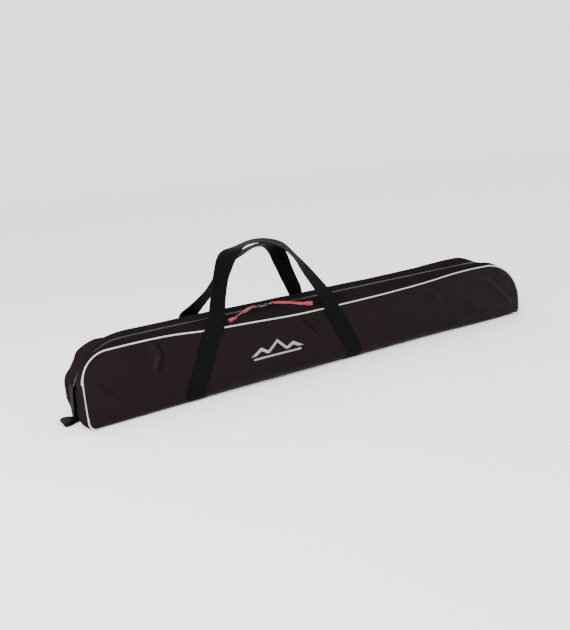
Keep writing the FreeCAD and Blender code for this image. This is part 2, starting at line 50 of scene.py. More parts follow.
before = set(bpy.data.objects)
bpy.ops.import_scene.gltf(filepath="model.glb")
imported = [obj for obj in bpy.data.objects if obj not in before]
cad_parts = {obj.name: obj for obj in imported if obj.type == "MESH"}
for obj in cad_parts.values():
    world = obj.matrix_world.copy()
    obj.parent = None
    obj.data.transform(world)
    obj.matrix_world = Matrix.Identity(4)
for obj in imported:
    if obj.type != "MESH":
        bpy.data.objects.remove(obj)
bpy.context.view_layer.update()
SHELL_LOW, SHELL_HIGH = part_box("outer_shell")
TAPE_LOW, TAPE_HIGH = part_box("front_zip_tape")
MM = 0.001
SIDES = (("left", -1), ("right", 1))
FACES = (("front", -1), ("rear", 1))


# ------------------------------------------------------------------ settings


def length(name, description, default):
    return FloatProperty(name=name, description=description, default=default, unit="LENGTH", precision=4)


def colour(name, description, default):
    return FloatVectorProperty(name=name, description=description, default=default, subtype="COLOR", size=3,
                               min=0.0, max=1.0)


class SkiBagShape(bpy.types.PropertyGroup):
    """Sizes of the soft parts."""

    half_depth: length("Half depth", "From the middle to the front or rear face", float(SHELL_HIGH[1]))
    fabric: length("Fabric", "Thickness of the outer fabric", 1.6 * MM)
    foam: length("Foam", "Thickness of the padding", 3.6 * MM)
    lining: length("Lining", "Thickness of the lining", 0.8 * MM)
    tape_edge: length("Tape edge", "From the zipper's middle to the outer edge of its tape",
                      float(-TAPE_LOW[1]) + 0.2 * MM)
    mouth_half: length("Mouth", "From the middle to each end of the straight zipper", float(TAPE_HIGH[0]))
    hinge_y: length("Fold line", "Where each top strip starts to fold into the bag", 0.0556)
    zip_height: length("Zipper height", "Top of the zipper's tapes", float(TAPE_HIGH[2]))
    piping_radius: length("Piping", "Radius of the covered cord along the seams", 1.7 * MM)
    tooth_pitch: length("Coil pitch", "From one turn of the zipper's coil to the next", 2.2 * MM)
    webbing: length("Webbing", "Width of the straps and handles", 0.038)
    webbing_thickness: length("Webbing thickness", "Thickness of the straps and handles", 1.6 * MM)
    cord: length("Pull cord", "Diameter of the zipper pulls' cord", 0.004)


class SkiBagColours(bpy.types.PropertyGroup):
    """Colours of the finishes, in linear light."""

    shell: colour("Shell", "Front, base and rear fabric", (0.0056, 0.0026, 0.0032))
    # Lighter than the shell: painted sheen for the top strips and ends, whose nylon gets no specular of its
    # own.
    gusset: colour("Gusset", "Top strips and ends", (0.0078, 0.0054, 0.0060))
    webbing: colour("Webbing", "Straps, handles and tabs", (0.0010, 0.0013, 0.0015))
    piping: colour("Piping", "Covered cord along the seams", (0.40, 0.40, 0.41))
    tape: colour("Zipper tape", "Woven tape", (0.0008, 0.0008, 0.0009))
    coil: colour("Zipper coil", "Plastic coil", (0.0011, 0.0011, 0.0012))
    metal: colour("Zipper metal", "Sliders and pullers", (0.0018, 0.0018, 0.0020))
    cord: colour("Pull cord", "Cord and moulded ends", (0.27, 0.0035, 0.008))
    emblem: colour("Emblem", "Screen print on the front", (0.22, 0.22, 0.23))
    lining: colour("Lining", "Inside fabric", (0.035, 0.035, 0.037))


class SkiBagStage(bpy.types.PropertyGroup):
    """Camera and light."""

    focal: FloatProperty(name="Focal length", description="Lens of the camera", default=39.68, unit="CAMERA")
    key_power: FloatProperty(name="Key light", description="Power of the light above", default=30.0,
                             unit="POWER")
    side_power: FloatProperty(name="Side light", description="Power of the light on the left", default=90.0,
                              unit="POWER")
    sky: FloatProperty(name="Surroundings", description="Brightness of the white surroundings", default=2.0)
    floor_size: length("Floor", "Side of the floor", 30.0)


# ------------------------------------------------------------------ shape of the bag


def through(points):
    """A smooth curve through a few (x, value) points, as a function of an array."""
    xs, ys = (np.array(v, float) for v in zip(*points))
    slopes = np.gradient(ys, xs)

    def curve(x):
        x = np.clip(x, xs[0], xs[-1])
        i = np.clip(np.searchsorted(xs, x) - 1, 0, len(xs) - 2)
        h = xs[i + 1] - xs[i]
        t = (x - xs[i]) / h
        return (ys[i] * (1 + 2 * t) * (1 - t) ** 2 + slopes[i] * h * t * (1 - t) ** 2
                + ys[i + 1] * t * t * (3 - 2 * t) + slopes[i + 1] * h * t * t * (t - 1))

    return curve


def smooth(t):
    t = np.clip(t, 0.0, 1.0)
    return t * t * (3 - 2 * t)


def shape():
    return bpy.context.scene.ski_bag_shape


def colours():
    return bpy.context.scene.ski_bag_colours


# Rounding at the foot of each end, and how far each end reaches in X.
FOOT_RADIUS = 0.018
END_REACH = 0.59


def foot_tuck(z):
    """How far the rounded foot of each end is drawn in at a height."""
    return FOOT_RADIUS - np.sqrt(np.maximum(FOOT_RADIUS ** 2 - np.maximum(FOOT_RADIUS - z, 0.0) ** 2, 0.0))


class Rim:
    """One long edge of the bag, in a plane of constant Y: up the left end, along the top, down the right end.

    over(q) gives X and Z with q from 0 to 3: left corner, top, right corner.
    along(p) gives them with p from 0 to 3: left foot to the mouth, the mouth, and on to the right foot.
    left and right are each corner's end in X, its length and height, and the power that squares it off.
    heights are X, Z points along the top.
    """

    def __init__(self, left, right, heights):
        self.left, self.right = left, right
        self.height = through(heights)
        corner = 60
        q = np.concatenate([np.linspace(0, 1, corner), np.linspace(1, 2, 4 * corner),
                            np.linspace(2, 3, corner)])
        x, z = self.over(q)
        low = np.linspace(0.0024, FOOT_RADIUS, 9)
        x = np.concatenate([x[0] + foot_tuck(low), x, x[-1] - foot_tuck(low[::-1])])
        z = np.concatenate([low, z, low[::-1]])
        steps = np.hypot(np.diff(x), np.diff(z))
        self.s = np.concatenate([[0.0], np.cumsum(steps)])
        self.x, self.z = x, z
        middle = slice(corner // 2, -corner // 2)
        mouth = shape().mouth_half
        self.s_left = np.interp(-mouth, x[middle], self.s[middle])
        self.s_right = np.interp(mouth, x[middle], self.s[middle])
        self.middle = middle

    def over(self, q):
        q = np.asarray(q, float)
        end_l, rx_l, rz_l, power_l = self.left
        end_r, rx_r, rz_r, power_r = self.right
        x0, x1 = end_l + rx_l, end_r - rx_r
        top_x = x0 + (x1 - x0) * np.clip(q - 1, 0, 1)
        a = np.clip(q, 0, 1) * math.pi / 2
        b = np.clip(q - 2, 0, 1) * math.pi / 2
        left_x = x0 - rx_l * np.cos(a) ** power_l
        left_z = self.height(x0) - rz_l * (1 - np.sin(a) ** power_l)
        right_x = x1 + rx_r * np.sin(b) ** power_r
        right_z = self.height(x1) - rz_r * (1 - np.cos(b) ** power_r)
        x = np.where(q < 1, left_x, np.where(q > 2, right_x, top_x))
        z = np.where(q < 1, left_z, np.where(q > 2, right_z, self.height(top_x)))
        return x, z

    def along(self, p):
        p = np.asarray(p, float)
        mouth = shape().mouth_half
        top_s = np.interp(-mouth + 2 * mouth * (p - 1), self.x[self.middle], self.s[self.middle])
        s = np.where(p < 1, p * self.s_left,
                     np.where(p > 2, self.s_right + (p - 2) * (self.s[-1] - self.s_right), top_s))
        return np.interp(s, self.s, self.x), np.interp(s, self.s, self.z)

    def frame_at(self, p):
        """Point, direction along and outward normal, in X and Z."""
        step = 1e-3
        x, z = self.along(p)
        xa, za = self.along(np.clip(p - step, 0, 3))
        xb, zb = self.along(np.clip(p + step, 0, 3))
        size = np.hypot(xb - xa, zb - za) + 1e-12
        tx, tz = (xb - xa) / size, (zb - za) / size
        return x, z, tx, tz, -tz, tx


def make_rims():
    """The front seam, the zipper's line and the rear seam. The top sags between the handles' straps."""
    front = Rim((-0.590, 0.054, 0.054, 1.0), (0.592, 0.126, 0.112, 1.0), (
        (-0.536, 0.1475), (-0.50, 0.1485), (-0.41, 0.148), (-0.34, 0.1425), (-0.235, 0.138), (-0.11, 0.133),
        (0.0, 0.1335), (0.11, 0.135), (0.18, 0.137), (0.27, 0.141), (0.34, 0.146), (0.41, 0.1485),
        (0.466, 0.148)))
    crest = Rim((-0.592, 0.098, 0.084, 1.14), (0.594, 0.112, 0.100, 1.0), (
        (-0.494, 0.1485), (-0.46, 0.1497), (-0.43, 0.15), (0.0, 0.15), (0.43, 0.15), (0.455, 0.15),
        (0.482, 0.1495)))
    rear = Rim((-0.584, 0.066, 0.060, 1.0), (0.588, 0.118, 0.100, 1.0), (
        (-0.518, 0.130), (-0.42, 0.131), (-0.30, 0.134), (-0.10, 0.134), (0.05, 0.133), (0.20, 0.137),
        (0.35, 0.144), (0.47, 0.146)))
    return {-1: front, 0: crest, 1: rear}


RIMS = {}


def rim(key):
    if not RIMS:
        RIMS.update(make_rims())
    return RIMS[key]


# The folds' heights below are all multiplied by this.
FOLD_STRENGTH = 1.9


def crease(x, z, a, b, width, depth):
    """Height of one fold from a to b: a soft ridge, a sharper valley beside it, and fading ends."""
    (ax, az), (bx, bz) = a, b
    length = math.hypot(bx - ax, bz - az)
    ux, uz = (bx - ax) / length, (bz - az) / length
    t = ((x - ax) * ux + (z - az) * uz) / length
    d = (x - ax) * -uz + (z - az) * ux
    fade = smooth((t + 0.15) / 0.35) * smooth((1.15 - t) / 0.35) * FOLD_STRENGTH
    ridge = np.exp(-((d / width) ** 2))
    valley = np.exp(-np.sqrt(((d - 1.4 * width) / (0.7 * width)) ** 2 + 0.04))
    return fade * depth * (ridge - 0.9 * valley)


def ripple(x, z, seed):
    """Slow unevenness of stuffed fabric, from a few crossed waves."""
    total = np.zeros_like(x)
    for i, (span, size) in enumerate(((0.31, 1.0), (0.17, 0.62), (0.093, 0.42), (0.051, 0.24))):
        turn = seed * 1.7 + i * 2.39
        kx, kz = math.cos(turn) / span, 1.6 * math.sin(turn + 0.6) / span
        total += size * np.sin(2 * math.pi * (kx * x + kz * z) + seed * 4.1 + i * 1.3)
        total += 0.5 * size * np.sin(2 * math.pi * (kz * 0.45 * x - kx * 0.9 * z) + seed * 2.3 + i * 2.9)
    return total


# Folds in the front face, each from one X, Z point to another, with its half width and height.
FRONT_FOLDS = (
    ((-0.452, 0.146), (-0.436, 0.118), 0.0050, 0.0040),
    ((-0.436, 0.118), (-0.450, 0.086), 0.0052, 0.0034),
    ((-0.478, 0.138), (-0.470, 0.112), 0.0060, 0.0009),
    ((-0.560, 0.120), (-0.505, 0.140), 0.0070, 0.0014),
    ((-0.575, 0.090), (-0.530, 0.040), 0.0085, 0.0014),
    ((-0.250, 0.128), (-0.228, 0.100), 0.0060, 0.0012),
    ((-0.118, 0.126), (-0.070, 0.072), 0.0060, 0.0030),
    ((-0.094, 0.126), (-0.056, 0.088), 0.0060, 0.0024),
    ((-0.120, 0.050), (-0.040, 0.030), 0.0075, 0.0016),
    ((0.046, 0.130), (0.080, 0.096), 0.0070, 0.0020),
    ((0.090, 0.132), (0.150, 0.098), 0.0085, 0.0022),
    ((0.240, 0.136), (0.300, 0.096), 0.0095, 0.0022),
    ((0.395, 0.145), (0.470, 0.110), 0.0075, 0.0020),
    ((0.470, 0.110), (0.560, 0.040), 0.0080, 0.0026),
    ((0.500, 0.138), (0.560, 0.100), 0.0070, 0.0020),
    ((0.400, 0.060), (0.520, 0.030), 0.0080, 0.0016),
    ((0.330, 0.030), (0.470, 0.022), 0.0090, 0.0014),
    ((-0.300, 0.024), (-0.150, 0.018), 0.0090, 0.0014),
)
REAR_FOLDS = (
    ((-0.520, 0.110), (-0.470, 0.070), 0.0080, 0.0024),
    ((-0.250, 0.122), (-0.190, 0.070), 0.0080, 0.0020),
    ((-0.030, 0.124), (0.045, 0.080), 0.0090, 0.0022),
    ((0.220, 0.128), (0.270, 0.072), 0.0080, 0.0018),
    ((0.450, 0.126), (0.540, 0.060), 0.0090, 0.0024),
)

# Folds in the left end, from one p, t point to another; t is negative on the front half.
END_FOLDS = (
    ((0.30, -0.10), (0.66, -0.95), 0.060, 0.0050),
    ((0.52, 0.10), (0.72, 0.80), 0.060, 0.0050),
    ((0.16, 0.60), (0.40, 0.20), 0.060, 0.0034),
    ((0.62, -0.20), (0.80, -0.85), 0.050, 0.0030),
)


def roll_radius(x):
    """Radius of the soft lower edges, larger in the middle where the bag sags."""
    return 0.010 + 0.013 * smooth((0.56 - np.abs(x + 0.02)) / 0.30)


# Shares of the wrap from seam to seam: an upright face, a rolled lower edge, and the base between the rolls.
WRAP_FRONT, WRAP_ROLL, WRAP_BASE = 0.34, 0.07, 0.18
# The padding and lining hang this far inside the outer fabric, clear of its folds.
PADDING_GAP = 0.0040


def wrap_point(q, v, depth=0.0):
    """The sheet that makes the front face, base and rear face, drawn in by depth for the layers behind it.

    q runs along the bag as in Rim.over, and v from the front seam at 0 to the rear seam at 1.
    """
    x_front, z_front = rim(-1).over(q)
    x_rear, z_rear = rim(1).over(q)
    w = np.clip((v - WRAP_FRONT - WRAP_ROLL) / WRAP_BASE, 0, 1)
    x = x_front + (x_rear - x_front) * w
    face = np.where(v < 0.5, -1.0, 1.0)
    from_seam = np.minimum(v, 1 - v)
    half = shape().half_depth - depth
    r = np.maximum(roll_radius(x) - depth, 0.003)
    top = np.where(face < 0, z_front, z_rear) - 0.4 * depth
    down = np.clip(from_seam / WRAP_FRONT, 0, 1)
    a = np.clip((from_seam - WRAP_FRONT) / WRAP_ROLL, 0, 1) * math.pi / 2
    upright = from_seam <= WRAP_FRONT
    z = np.where(upright, top + (depth + r - top) * down, depth + r * (1 - np.sin(a)))
    reach = np.where(upright, half, half - r * (1 - np.cos(a)))
    flat = from_seam > WRAP_FRONT + WRAP_ROLL
    y = np.where(flat, (half - r) * (2 * w - 1), face * reach)
    # the foot of each end is rounded off
    x = x * (1 - foot_tuck(z) / END_REACH)
    # stuffing, folds and unevenness push the two upright faces out and in
    hang = np.sin(math.pi * np.clip(down, 0, 1)) * np.where(upright, 1.0, 0.0)
    near_end = smooth((END_REACH + 0.01 - np.abs(x)) / 0.10)
    puff = 0.0025 * hang * near_end
    puff += 0.00085 * ripple(x, z, 1.0) * smooth(down * 3) * smooth((1 - a / (math.pi / 2)) * 1.2)
    if depth > 0:
        folds = -PADDING_GAP
    else:
        folds = sum(np.where(face == side, crease(x, z, *fold), 0.0)
                    for side, group in ((-1, FRONT_FOLDS), (1, REAR_FOLDS)) for fold in group)
    hold = smooth(down * 6) * np.where(flat, 0.0, 1.0)
    y = y + face * (puff + folds * hold)
    # the base rests on its straps, and the right corner lifts a little more
    lift = (0.0015 + 0.003 * smooth((x - 0.53) / 0.06)) * np.exp(-np.maximum(z, 0) / 0.02)
    return np.stack([x, y, z + lift], -1)


def wrap_normal(q, v):
    e = 2e-3
    du = wrap_point(q + e, v) - wrap_point(q - e, v)
    dv = wrap_point(q, np.clip(v + e, 0, 1)) - wrap_point(q, np.clip(v - e, 0, 1))
    n = np.cross(dv, du)
    return n / (np.linalg.norm(n, axis=-1, keepdims=True) + 1e-12)


def face_q(face, x):
    """The q of a point at X on the top of the front or rear face."""
    end_l, rx_l = rim(face).left[:2]
    end_r, rx_r = rim(face).right[:2]
    x0, x1 = end_l + rx_l, end_r - rx_r
    return 1 + (x - x0) / (x1 - x0)


def top_point(face, p, t, lift=0.0):
    """Top strips and end gussets: t is 0 at the seam, 1 at the zipper's tape and 2 at the zipper's middle."""
    ax, az = rim(face).along(p)
    cx, cz, _, _, nx, nz = rim(0).frame_at(p)
    half = shape().half_depth
    inner = shape().tape_edge
    zip_open = smooth((p - 0.27) / 0.04) * smooth((2.72 - p) / 0.04)
    edge = 0.0001 + (inner - 0.0001) * zip_open
    u = np.clip(t, 0, 1)
    rise = np.sin(u * math.pi / 2) ** 0.85
    x = ax + (cx - ax) * rise
    z = az + (cz - az) * rise
    y = half + (edge - half) * u
    y = np.where(t > 1, edge * (2 - t) + 0.0004 * (t - 1), y)
    # between seam and zipper the fabric stands up in a soft roll, more at the rear
    roll = np.sin(math.pi * u ** 1.1)
    on_top = smooth((p - 0.70) / 0.25) * smooth((2.30 - p) / 0.25)
    puff = roll * (0.0045 + (0.0055 if face > 0 else -0.0010) * on_top)
    puff += roll * 0.0010 * ripple(x, y * face + 0.3 * z, 3.0 + face)
    if face < 0:
        # flatter where the pulls pass when the sliders are at the ends of the mouth
        near_mouth_ends = np.exp(-(((p - 0.90) / 0.11) ** 2)) + np.exp(-(((p - 2.10) / 0.11) ** 2))
        puff = puff * (1 - 0.8 * near_mouth_ends)
    right_rise = smooth((x - 0.10) / 0.32) * on_top * (0.0035 if face > 0 else 0.0015)
    puff += roll * right_rise
    # the left end is pressed in between its seams, with folds across it
    left = smooth((1.0 - p) / 0.15)
    for fold in END_FOLDS:
        puff += left * crease(p, t * face, *fold)
    x = x + nx * (puff + lift)
    z = z + nz * (puff + lift)
    return np.stack([x, y * face, z], -1)


# ------------------------------------------------------------------ mesh helpers


def deselect():
    if bpy.context.object and bpy.context.object.mode != "OBJECT":
        bpy.ops.object.mode_set(mode="OBJECT")
    bpy.ops.object.select_all(action="DESELECT")


def make_active(obj):
    deselect()
    obj.select_set(True)
    bpy.context.view_layer.objects.active = obj


def apply_modifier(obj, kind, **settings):
    make_active(obj)
    modifier = obj.modifiers.new(kind.title(), kind)
    for key, value in settings.items():
        setattr(modifier, key, value)
    bpy.ops.object.modifier_apply(modifier=modifier.name)


def sheet_mesh(name, columns, rows, surface):
    """A grid of fabric: columns and rows are its lines' values, and surface gives their crossing points."""
    deselect()
    bpy.ops.mesh.primitive_grid_add(x_subdivisions=len(columns) - 1, y_subdivisions=len(rows) - 1, size=2)
    obj = bpy.context.object
    obj.name = obj.data.name = name
    flat = np.empty(len(obj.data.vertices) * 3)
    obj.data.vertices.foreach_get("co", flat)
    flat = flat.reshape(-1, 3)
    i = np.rint((flat[:, 0] + 1) / 2 * (len(columns) - 1)).astype(int)
    j = np.rint((flat[:, 1] + 1) / 2 * (len(rows) - 1)).astype(int)
    points = surface(np.asarray(columns, float)[i], np.asarray(rows, float)[j])
    obj.data.vertices.foreach_set("co", points.astype(np.float32).ravel())
    obj.data.update()
    return obj


def face_outwards(obj):
    """Turns an open sheet's faces away from the bag's axis."""
    total = 0.0
    for polygon in obj.data.polygons:
        axis = Vector((polygon.center.x * 0.9, 0, 0.065))
        total += polygon.normal.dot(polygon.center - axis) * polygon.area
    if total < 0:
        make_active(obj)
        bpy.ops.object.mode_set(mode="EDIT")
        bpy.ops.mesh.select_all(action="SELECT")
        bpy.ops.mesh.flip_normals()
        bpy.ops.object.mode_set(mode="OBJECT")


def thicken(obj, thickness, offset=-1.0):
    apply_modifier(obj, "SOLIDIFY", thickness=thickness, offset=offset, use_even_offset=False)


def shade(obj, angle=None):
    make_active(obj)
    if angle is None:
        bpy.ops.object.shade_smooth()
    else:
        bpy.ops.object.shade_smooth_by_angle(angle=math.radians(angle))


def wear(obj, finish):
    obj.data.materials.clear()
    obj.data.materials.append(material(finish))


def finish_piece(obj, body, slot, finish, *nodes):
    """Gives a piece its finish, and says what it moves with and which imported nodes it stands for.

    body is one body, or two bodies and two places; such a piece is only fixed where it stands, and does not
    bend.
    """
    wear(obj, finish)
    if nodes:
        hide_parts(*nodes)
    if isinstance(body, str):
        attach(obj, body)
    else:
        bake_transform(obj)
    return obj


def tube_mesh(name, points, radius, resolution):
    """A closed tube along a line of points, made as a bevelled curve and turned into a mesh."""
    data = bpy.data.curves.new(name, "CURVE")
    data.dimensions = "3D"
    data.bevel_depth = radius
    data.bevel_resolution = resolution
    data.use_fill_caps = True
    spline = data.splines.new("POLY")
    spline.points.add(len(points) - 1)
    for target, point in zip(spline.points, points):
        target.co = (*point, 1)
    obj = bpy.data.objects.new(name, data)
    bpy.context.collection.objects.link(obj)
    make_active(obj)
    bpy.ops.object.convert(target="MESH")
    obj = bpy.context.object
    obj.name = obj.data.name = name
    apply_modifier(obj, "WELD", merge_threshold=1e-6)
    return obj


def join(objects, name):
    deselect()
    for obj in objects:
        obj.select_set(True)
    bpy.context.view_layer.objects.active = objects[0]
    if len(objects) > 1:
        bpy.ops.object.join()
    obj = bpy.context.object
    obj.name = obj.data.name = name
    return obj


def copies(source, places, name):
    """One mesh with a copy of source's mesh at each place, a 4 by 4 matrix."""
    verts = np.array([v.co for v in source.data.vertices], float)
    faces = [tuple(p.vertices) for p in source.data.polygons]
    homogeneous = np.c_[verts, np.ones(len(verts))]
    all_verts, all_faces = [], []
    for i, place in enumerate(places):
        all_verts.append((homogeneous @ np.array(place, float).T)[:, :3])
        start = i * len(verts)
        all_faces.extend(tuple(start + k for k in face) for face in faces)
    mesh = bpy.data.meshes.new(name)
    mesh.from_pydata(np.concatenate(all_verts).tolist(), [], all_faces)
    mesh.update()
    obj = bpy.data.objects.new(name, mesh)
    bpy.context.collection.objects.link(obj)
    bpy.data.objects.remove(source, do_unlink=True)
    return obj


def place_matrix(origin, along, up):
    """A matrix whose X runs along, and whose Z is as near up as it can be."""
    x = Vector(along).normalized()
    y = Vector(up).cross(x).normalized()
    z = x.cross(y)
    return Matrix((*zip(x, y, z, origin), (0, 0, 0, 1)))


# ------------------------------------------------------------------ material helpers


class Value:
    """A socket that can be used in sums, so that shader maths reads as an expression."""

    def __init__(self, paint, socket):
        self.paint, self.socket = paint, socket

    def _math(self, operation, *values):
        return self.paint.node("ShaderNodeMath", {"operation": operation}, *values)

    def __add__(self, other):
        return self._math("ADD", self, other)

    def __sub__(self, other):
        return self._math("SUBTRACT", self, other)

    def __rsub__(self, other):
        return self._math("SUBTRACT", other, self)

    def __mul__(self, other):
        return self._math("MULTIPLY", self, other)

    __radd__ = __add__
    __rmul__ = __mul__

    def sine(self):
        return self._math("SINE", self)

    def absolute(self):
        return self._math("ABSOLUTE", self)

    def larger(self, other):
        return self._math("MAXIMUM", self, other)

    def clamp(self):
        return self._math("MINIMUM", self._math("MAXIMUM", self, 0.0), 1.0)


class Paint:
    """One material and the nodes that make it."""

    def __init__(self, name):
        self.material = bpy.data.materials.new(name)
        self.material.use_nodes = True
        self.tree = self.material.node_tree
        self.tree.nodes.clear()
        self.shader = self.tree.nodes.new("ShaderNodeBsdfPrincipled")
        output = self.tree.nodes.new("ShaderNodeOutputMaterial")
        self.tree.links.new(self.shader.outputs[0], output.inputs["Surface"])

    def node(self, kind, settings=None, *values, out=0, **named):
        """Makes a node: settings first, then sockets in order or by name. None leaves a socket alone."""
        made = self.tree.nodes.new(kind)
        for key, value in (settings or {}).items():
            setattr(made, key, value)
        for i, value in enumerate(values):
            self.feed(made.inputs[i], value)
        for key, value in named.items():
            self.feed(made.inputs[key], value)
        return Value(self, made.outputs[out])

    def feed(self, socket, value):
        if isinstance(value, Value):
            self.tree.links.new(value.socket, socket)
        elif value is not None:
            socket.default_value = value

    def place(self, source="Object"):
        return self.node("ShaderNodeTexCoord", out=source)

    def parts(self, vector):
        first = self.node("ShaderNodeSeparateXYZ", None, vector)
        return [Value(self, out) for out in first.socket.node.outputs]

    def noise(self, vector, scale, detail=3.0, roughness=0.5):
        return self.node("ShaderNodeTexNoise", None, vector, Scale=scale, Detail=detail, Roughness=roughness)

    def mix(self, factor, a, b):
        a, b = ((*colour, 1.0) if isinstance(colour, tuple) else colour for colour in (a, b))
        unused = [None] * 5
        return self.node("ShaderNodeMix", {"data_type": "RGBA"}, factor, *unused, a, b, out=2)

    def bump(self, height, strength, distance):
        return self.node("ShaderNodeBump", None, Strength=strength, Distance=distance, Height=height)

    def finish(self, **sockets):
        for key, value in sockets.items():
            self.feed(self.shader.inputs[key.replace("_", " ").title().replace("Ior", "IOR")], value)
        return self.material


def tint(colour, share):
    """The colour made darker, or lighter above 1."""
    return tuple(c * share for c in colour)


def woven_nylon(name, colour, thread=0.00075, shine=0.05):
    """Coated nylon: a fine plain weave, uneven dye and light dust in the hollows."""
    paint = Paint(name)
    place = paint.place()
    x, y, z = paint.parts(place)
    rate = 2 * math.pi / thread
    weave = (x * rate).sine() * ((z + y * 0.83) * rate).sine()
    cloudy = paint.noise(place, 9.0, 4.0)
    grain = paint.noise(place, 420.0, 2.0, 0.6)
    flecks = paint.noise(place, 1500.0, 1.0)
    tone = cloudy * 0.55 + grain * 0.45
    base = paint.mix(tone, tint(colour, 0.72), tint(colour, 1.30))
    base = paint.mix(((flecks - 0.56) * 3.0).clamp(), base, tint(colour, 2.3))
    height = weave * 0.35 + grain * 0.8 + cloudy * 0.5
    return paint.finish(base_color=base, roughness=0.52 + (grain - 0.5) * 0.22 + (cloudy - 0.5) * 0.12,
                        normal=paint.bump(height, 0.32, 0.00035), specular_ior_level=shine)


def webbing_weave(name, colour):
    """Ribbed webbing: diagonal ribs that meet in a herringbone, with tighter edges. UV is in metres."""
    paint = Paint(name)
    place = paint.place(source="UV")
    across, along, _ = paint.parts(place)
    width = shape().webbing
    middle = (across - width / 2).absolute()
    herring = ((middle * 1.15 + along) * (2 * math.pi / 0.0021)).sine()
    threads = (across * (2 * math.pi / 0.0012)).sine()
    edge = ((middle - width * 0.44) * 420.0).clamp()
    noise = paint.noise(paint.place(), 260.0, 3.0)
    cloudy = paint.noise(paint.place(), 14.0, 3.0)
    ribs = herring * 0.5 + 0.5
    # The colour follows the ribs, lighter on their crests and darker between them: painted light and shade,
    # mixed with random tone from the noises.
    tone = (ribs * 0.45 + noise * 0.35 + cloudy * 0.3).clamp()
    base = paint.mix(tone, tint(colour, 0.55), tint(colour, 1.7))
    base = paint.mix(edge * 0.5, base, tint(colour, 0.7))
    height = ribs + threads * 0.25 + noise * 0.4 - edge * 0.5
    return paint.finish(base_color=base, roughness=0.60 + (noise - 0.5) * 0.2,
                        normal=paint.bump(height, 0.5, 0.0006), specular_ior_level=0.04)


def covered_cord(name, colour):
    """Piping: fabric wrapped over a cord, with a slight twist and a pearly reflective coat."""
    paint = Paint(name)
    place = paint.place()
    x, y, z = paint.parts(place)
    twist = ((x * 0.8 + z * 0.8 + y) * (2 * math.pi / 0.0026)).sine()
    grain = paint.noise(place, 700.0, 2.0)
    grime = paint.noise(place, 26.0, 4.0, 0.6)
    base = paint.mix((grime * 0.7 + grain * 0.3).clamp(), tint(colour, 0.62), tint(colour, 1.25))
    return paint.finish(base_color=base, roughness=0.38 + (grain - 0.5) * 0.3, metallic=0.15,
                        normal=paint.bump(twist * 0.3 + grain, 0.3, 0.0004), specular_ior_level=0.6)


def tape_weave(name, colour):
    """Zipper tape: fine knitted ribs."""
    paint = Paint(name)
    place = paint.place()
    x, y, z = paint.parts(place)
    ribs = (y * (2 * math.pi / 0.0011)).sine() * 0.6 + ((x + z) * (2 * math.pi / 0.0009)).sine() * 0.4
    grain = paint.noise(place, 500.0, 2.0)
    # The colour follows the ribs, lighter on them and darker between them: painted light and shade, mixed
    # with random grain.
    base = paint.mix((ribs * 0.25 + grain * 0.6).clamp(), tint(colour, 0.6), tint(colour, 1.6))
    return paint.finish(base_color=base, roughness=0.7 + (grain - 0.5) * 0.2,
                        normal=paint.bump(ribs + grain * 0.5, 0.4, 0.0004), specular_ior_level=0.04)


def moulded(name, colour, roughness=0.4, speckle=0.25, bump=0.15, shine=0.5):
    """Moulded plastic or rubber with a fine surface texture and scuffs."""
    paint = Paint(name)
    place = paint.place()
    grain = paint.noise(place, 900.0, 2.0)
    scuff = paint.noise(place, 120.0, 5.0, 0.7)
    base = paint.mix((scuff * speckle + grain * 0.3).clamp(), tint(colour, 0.82), tint(colour, 1.2))
    return paint.finish(base_color=base, roughness=roughness + (scuff - 0.5) * 0.2,
                        normal=paint.bump(grain * 0.5 + scuff * 0.5, bump, 0.0003),
                        specular_ior_level=shine)


def painted_metal(name, colour):
    """Black enamelled die-cast metal, with bare metal where corners have rubbed."""
    paint = Paint(name)
    place = paint.place()
    wear = paint.noise(place, 330.0, 5.0, 0.65)
    grain = paint.noise(place, 1200.0, 2.0)
    rubbed = ((wear - 0.60) * 9.0).clamp()
    base = paint.mix(rubbed, paint.mix(grain, tint(colour, 0.8), tint(colour, 1.3)), (0.34, 0.33, 0.32))
    return paint.finish(base_color=base, metallic=rubbed * 0.7 + 0.25,
                        roughness=0.30 + (grain - 0.5) * 0.15,
                        normal=paint.bump(grain * 0.4 - rubbed, 0.2, 0.0002), specular_ior_level=0.6)


def braided_cord(name, colour):
    """Braided cord: two sets of crossing strands, darker in the valleys between them as painted shade."""
    paint = Paint(name)
    place = paint.place()
    x, y, z = paint.parts(place)
    rate = 2 * math.pi / 0.0019
    one = ((x + y * 0.9 + z * 1.3) * rate).sine()
    two = ((x - y * 0.9 - z * 1.3) * rate).sine()
    braid = one.larger(two) * 0.5 + 0.5
    fuzz = paint.noise(place, 1400.0, 3.0)
    # Darker in the braid's valleys: painted shade, mixed with random fuzz.
    base = paint.mix((braid * 0.75 + fuzz * 0.3).clamp(), tint(colour, 0.45), tint(colour, 1.12))
    return paint.finish(base_color=base, roughness=0.62 + (fuzz - 0.5) * 0.2,
                        normal=paint.bump(braid + fuzz * 0.4, 0.6, 0.0005), sheen_weight=0.3,
                        sheen_roughness=0.35)


def screen_print(name, colour):
    """Ink printed on the weave, worn thin in places."""
    paint = Paint(name)
    place = paint.place()
    grain = paint.noise(place, 1100.0, 2.0, 0.6)
    cloudy = paint.noise(place, 60.0, 4.0)
    base = paint.mix(((grain * 0.7 + cloudy * 0.5) - 0.1).clamp(), tint(colour, 0.5), tint(colour, 1.3))
    return paint.finish(base_color=base, roughness=0.5 + (grain - 0.5) * 0.2,
                        normal=paint.bump(grain, 0.3, 0.0003))


MATERIALS = {}


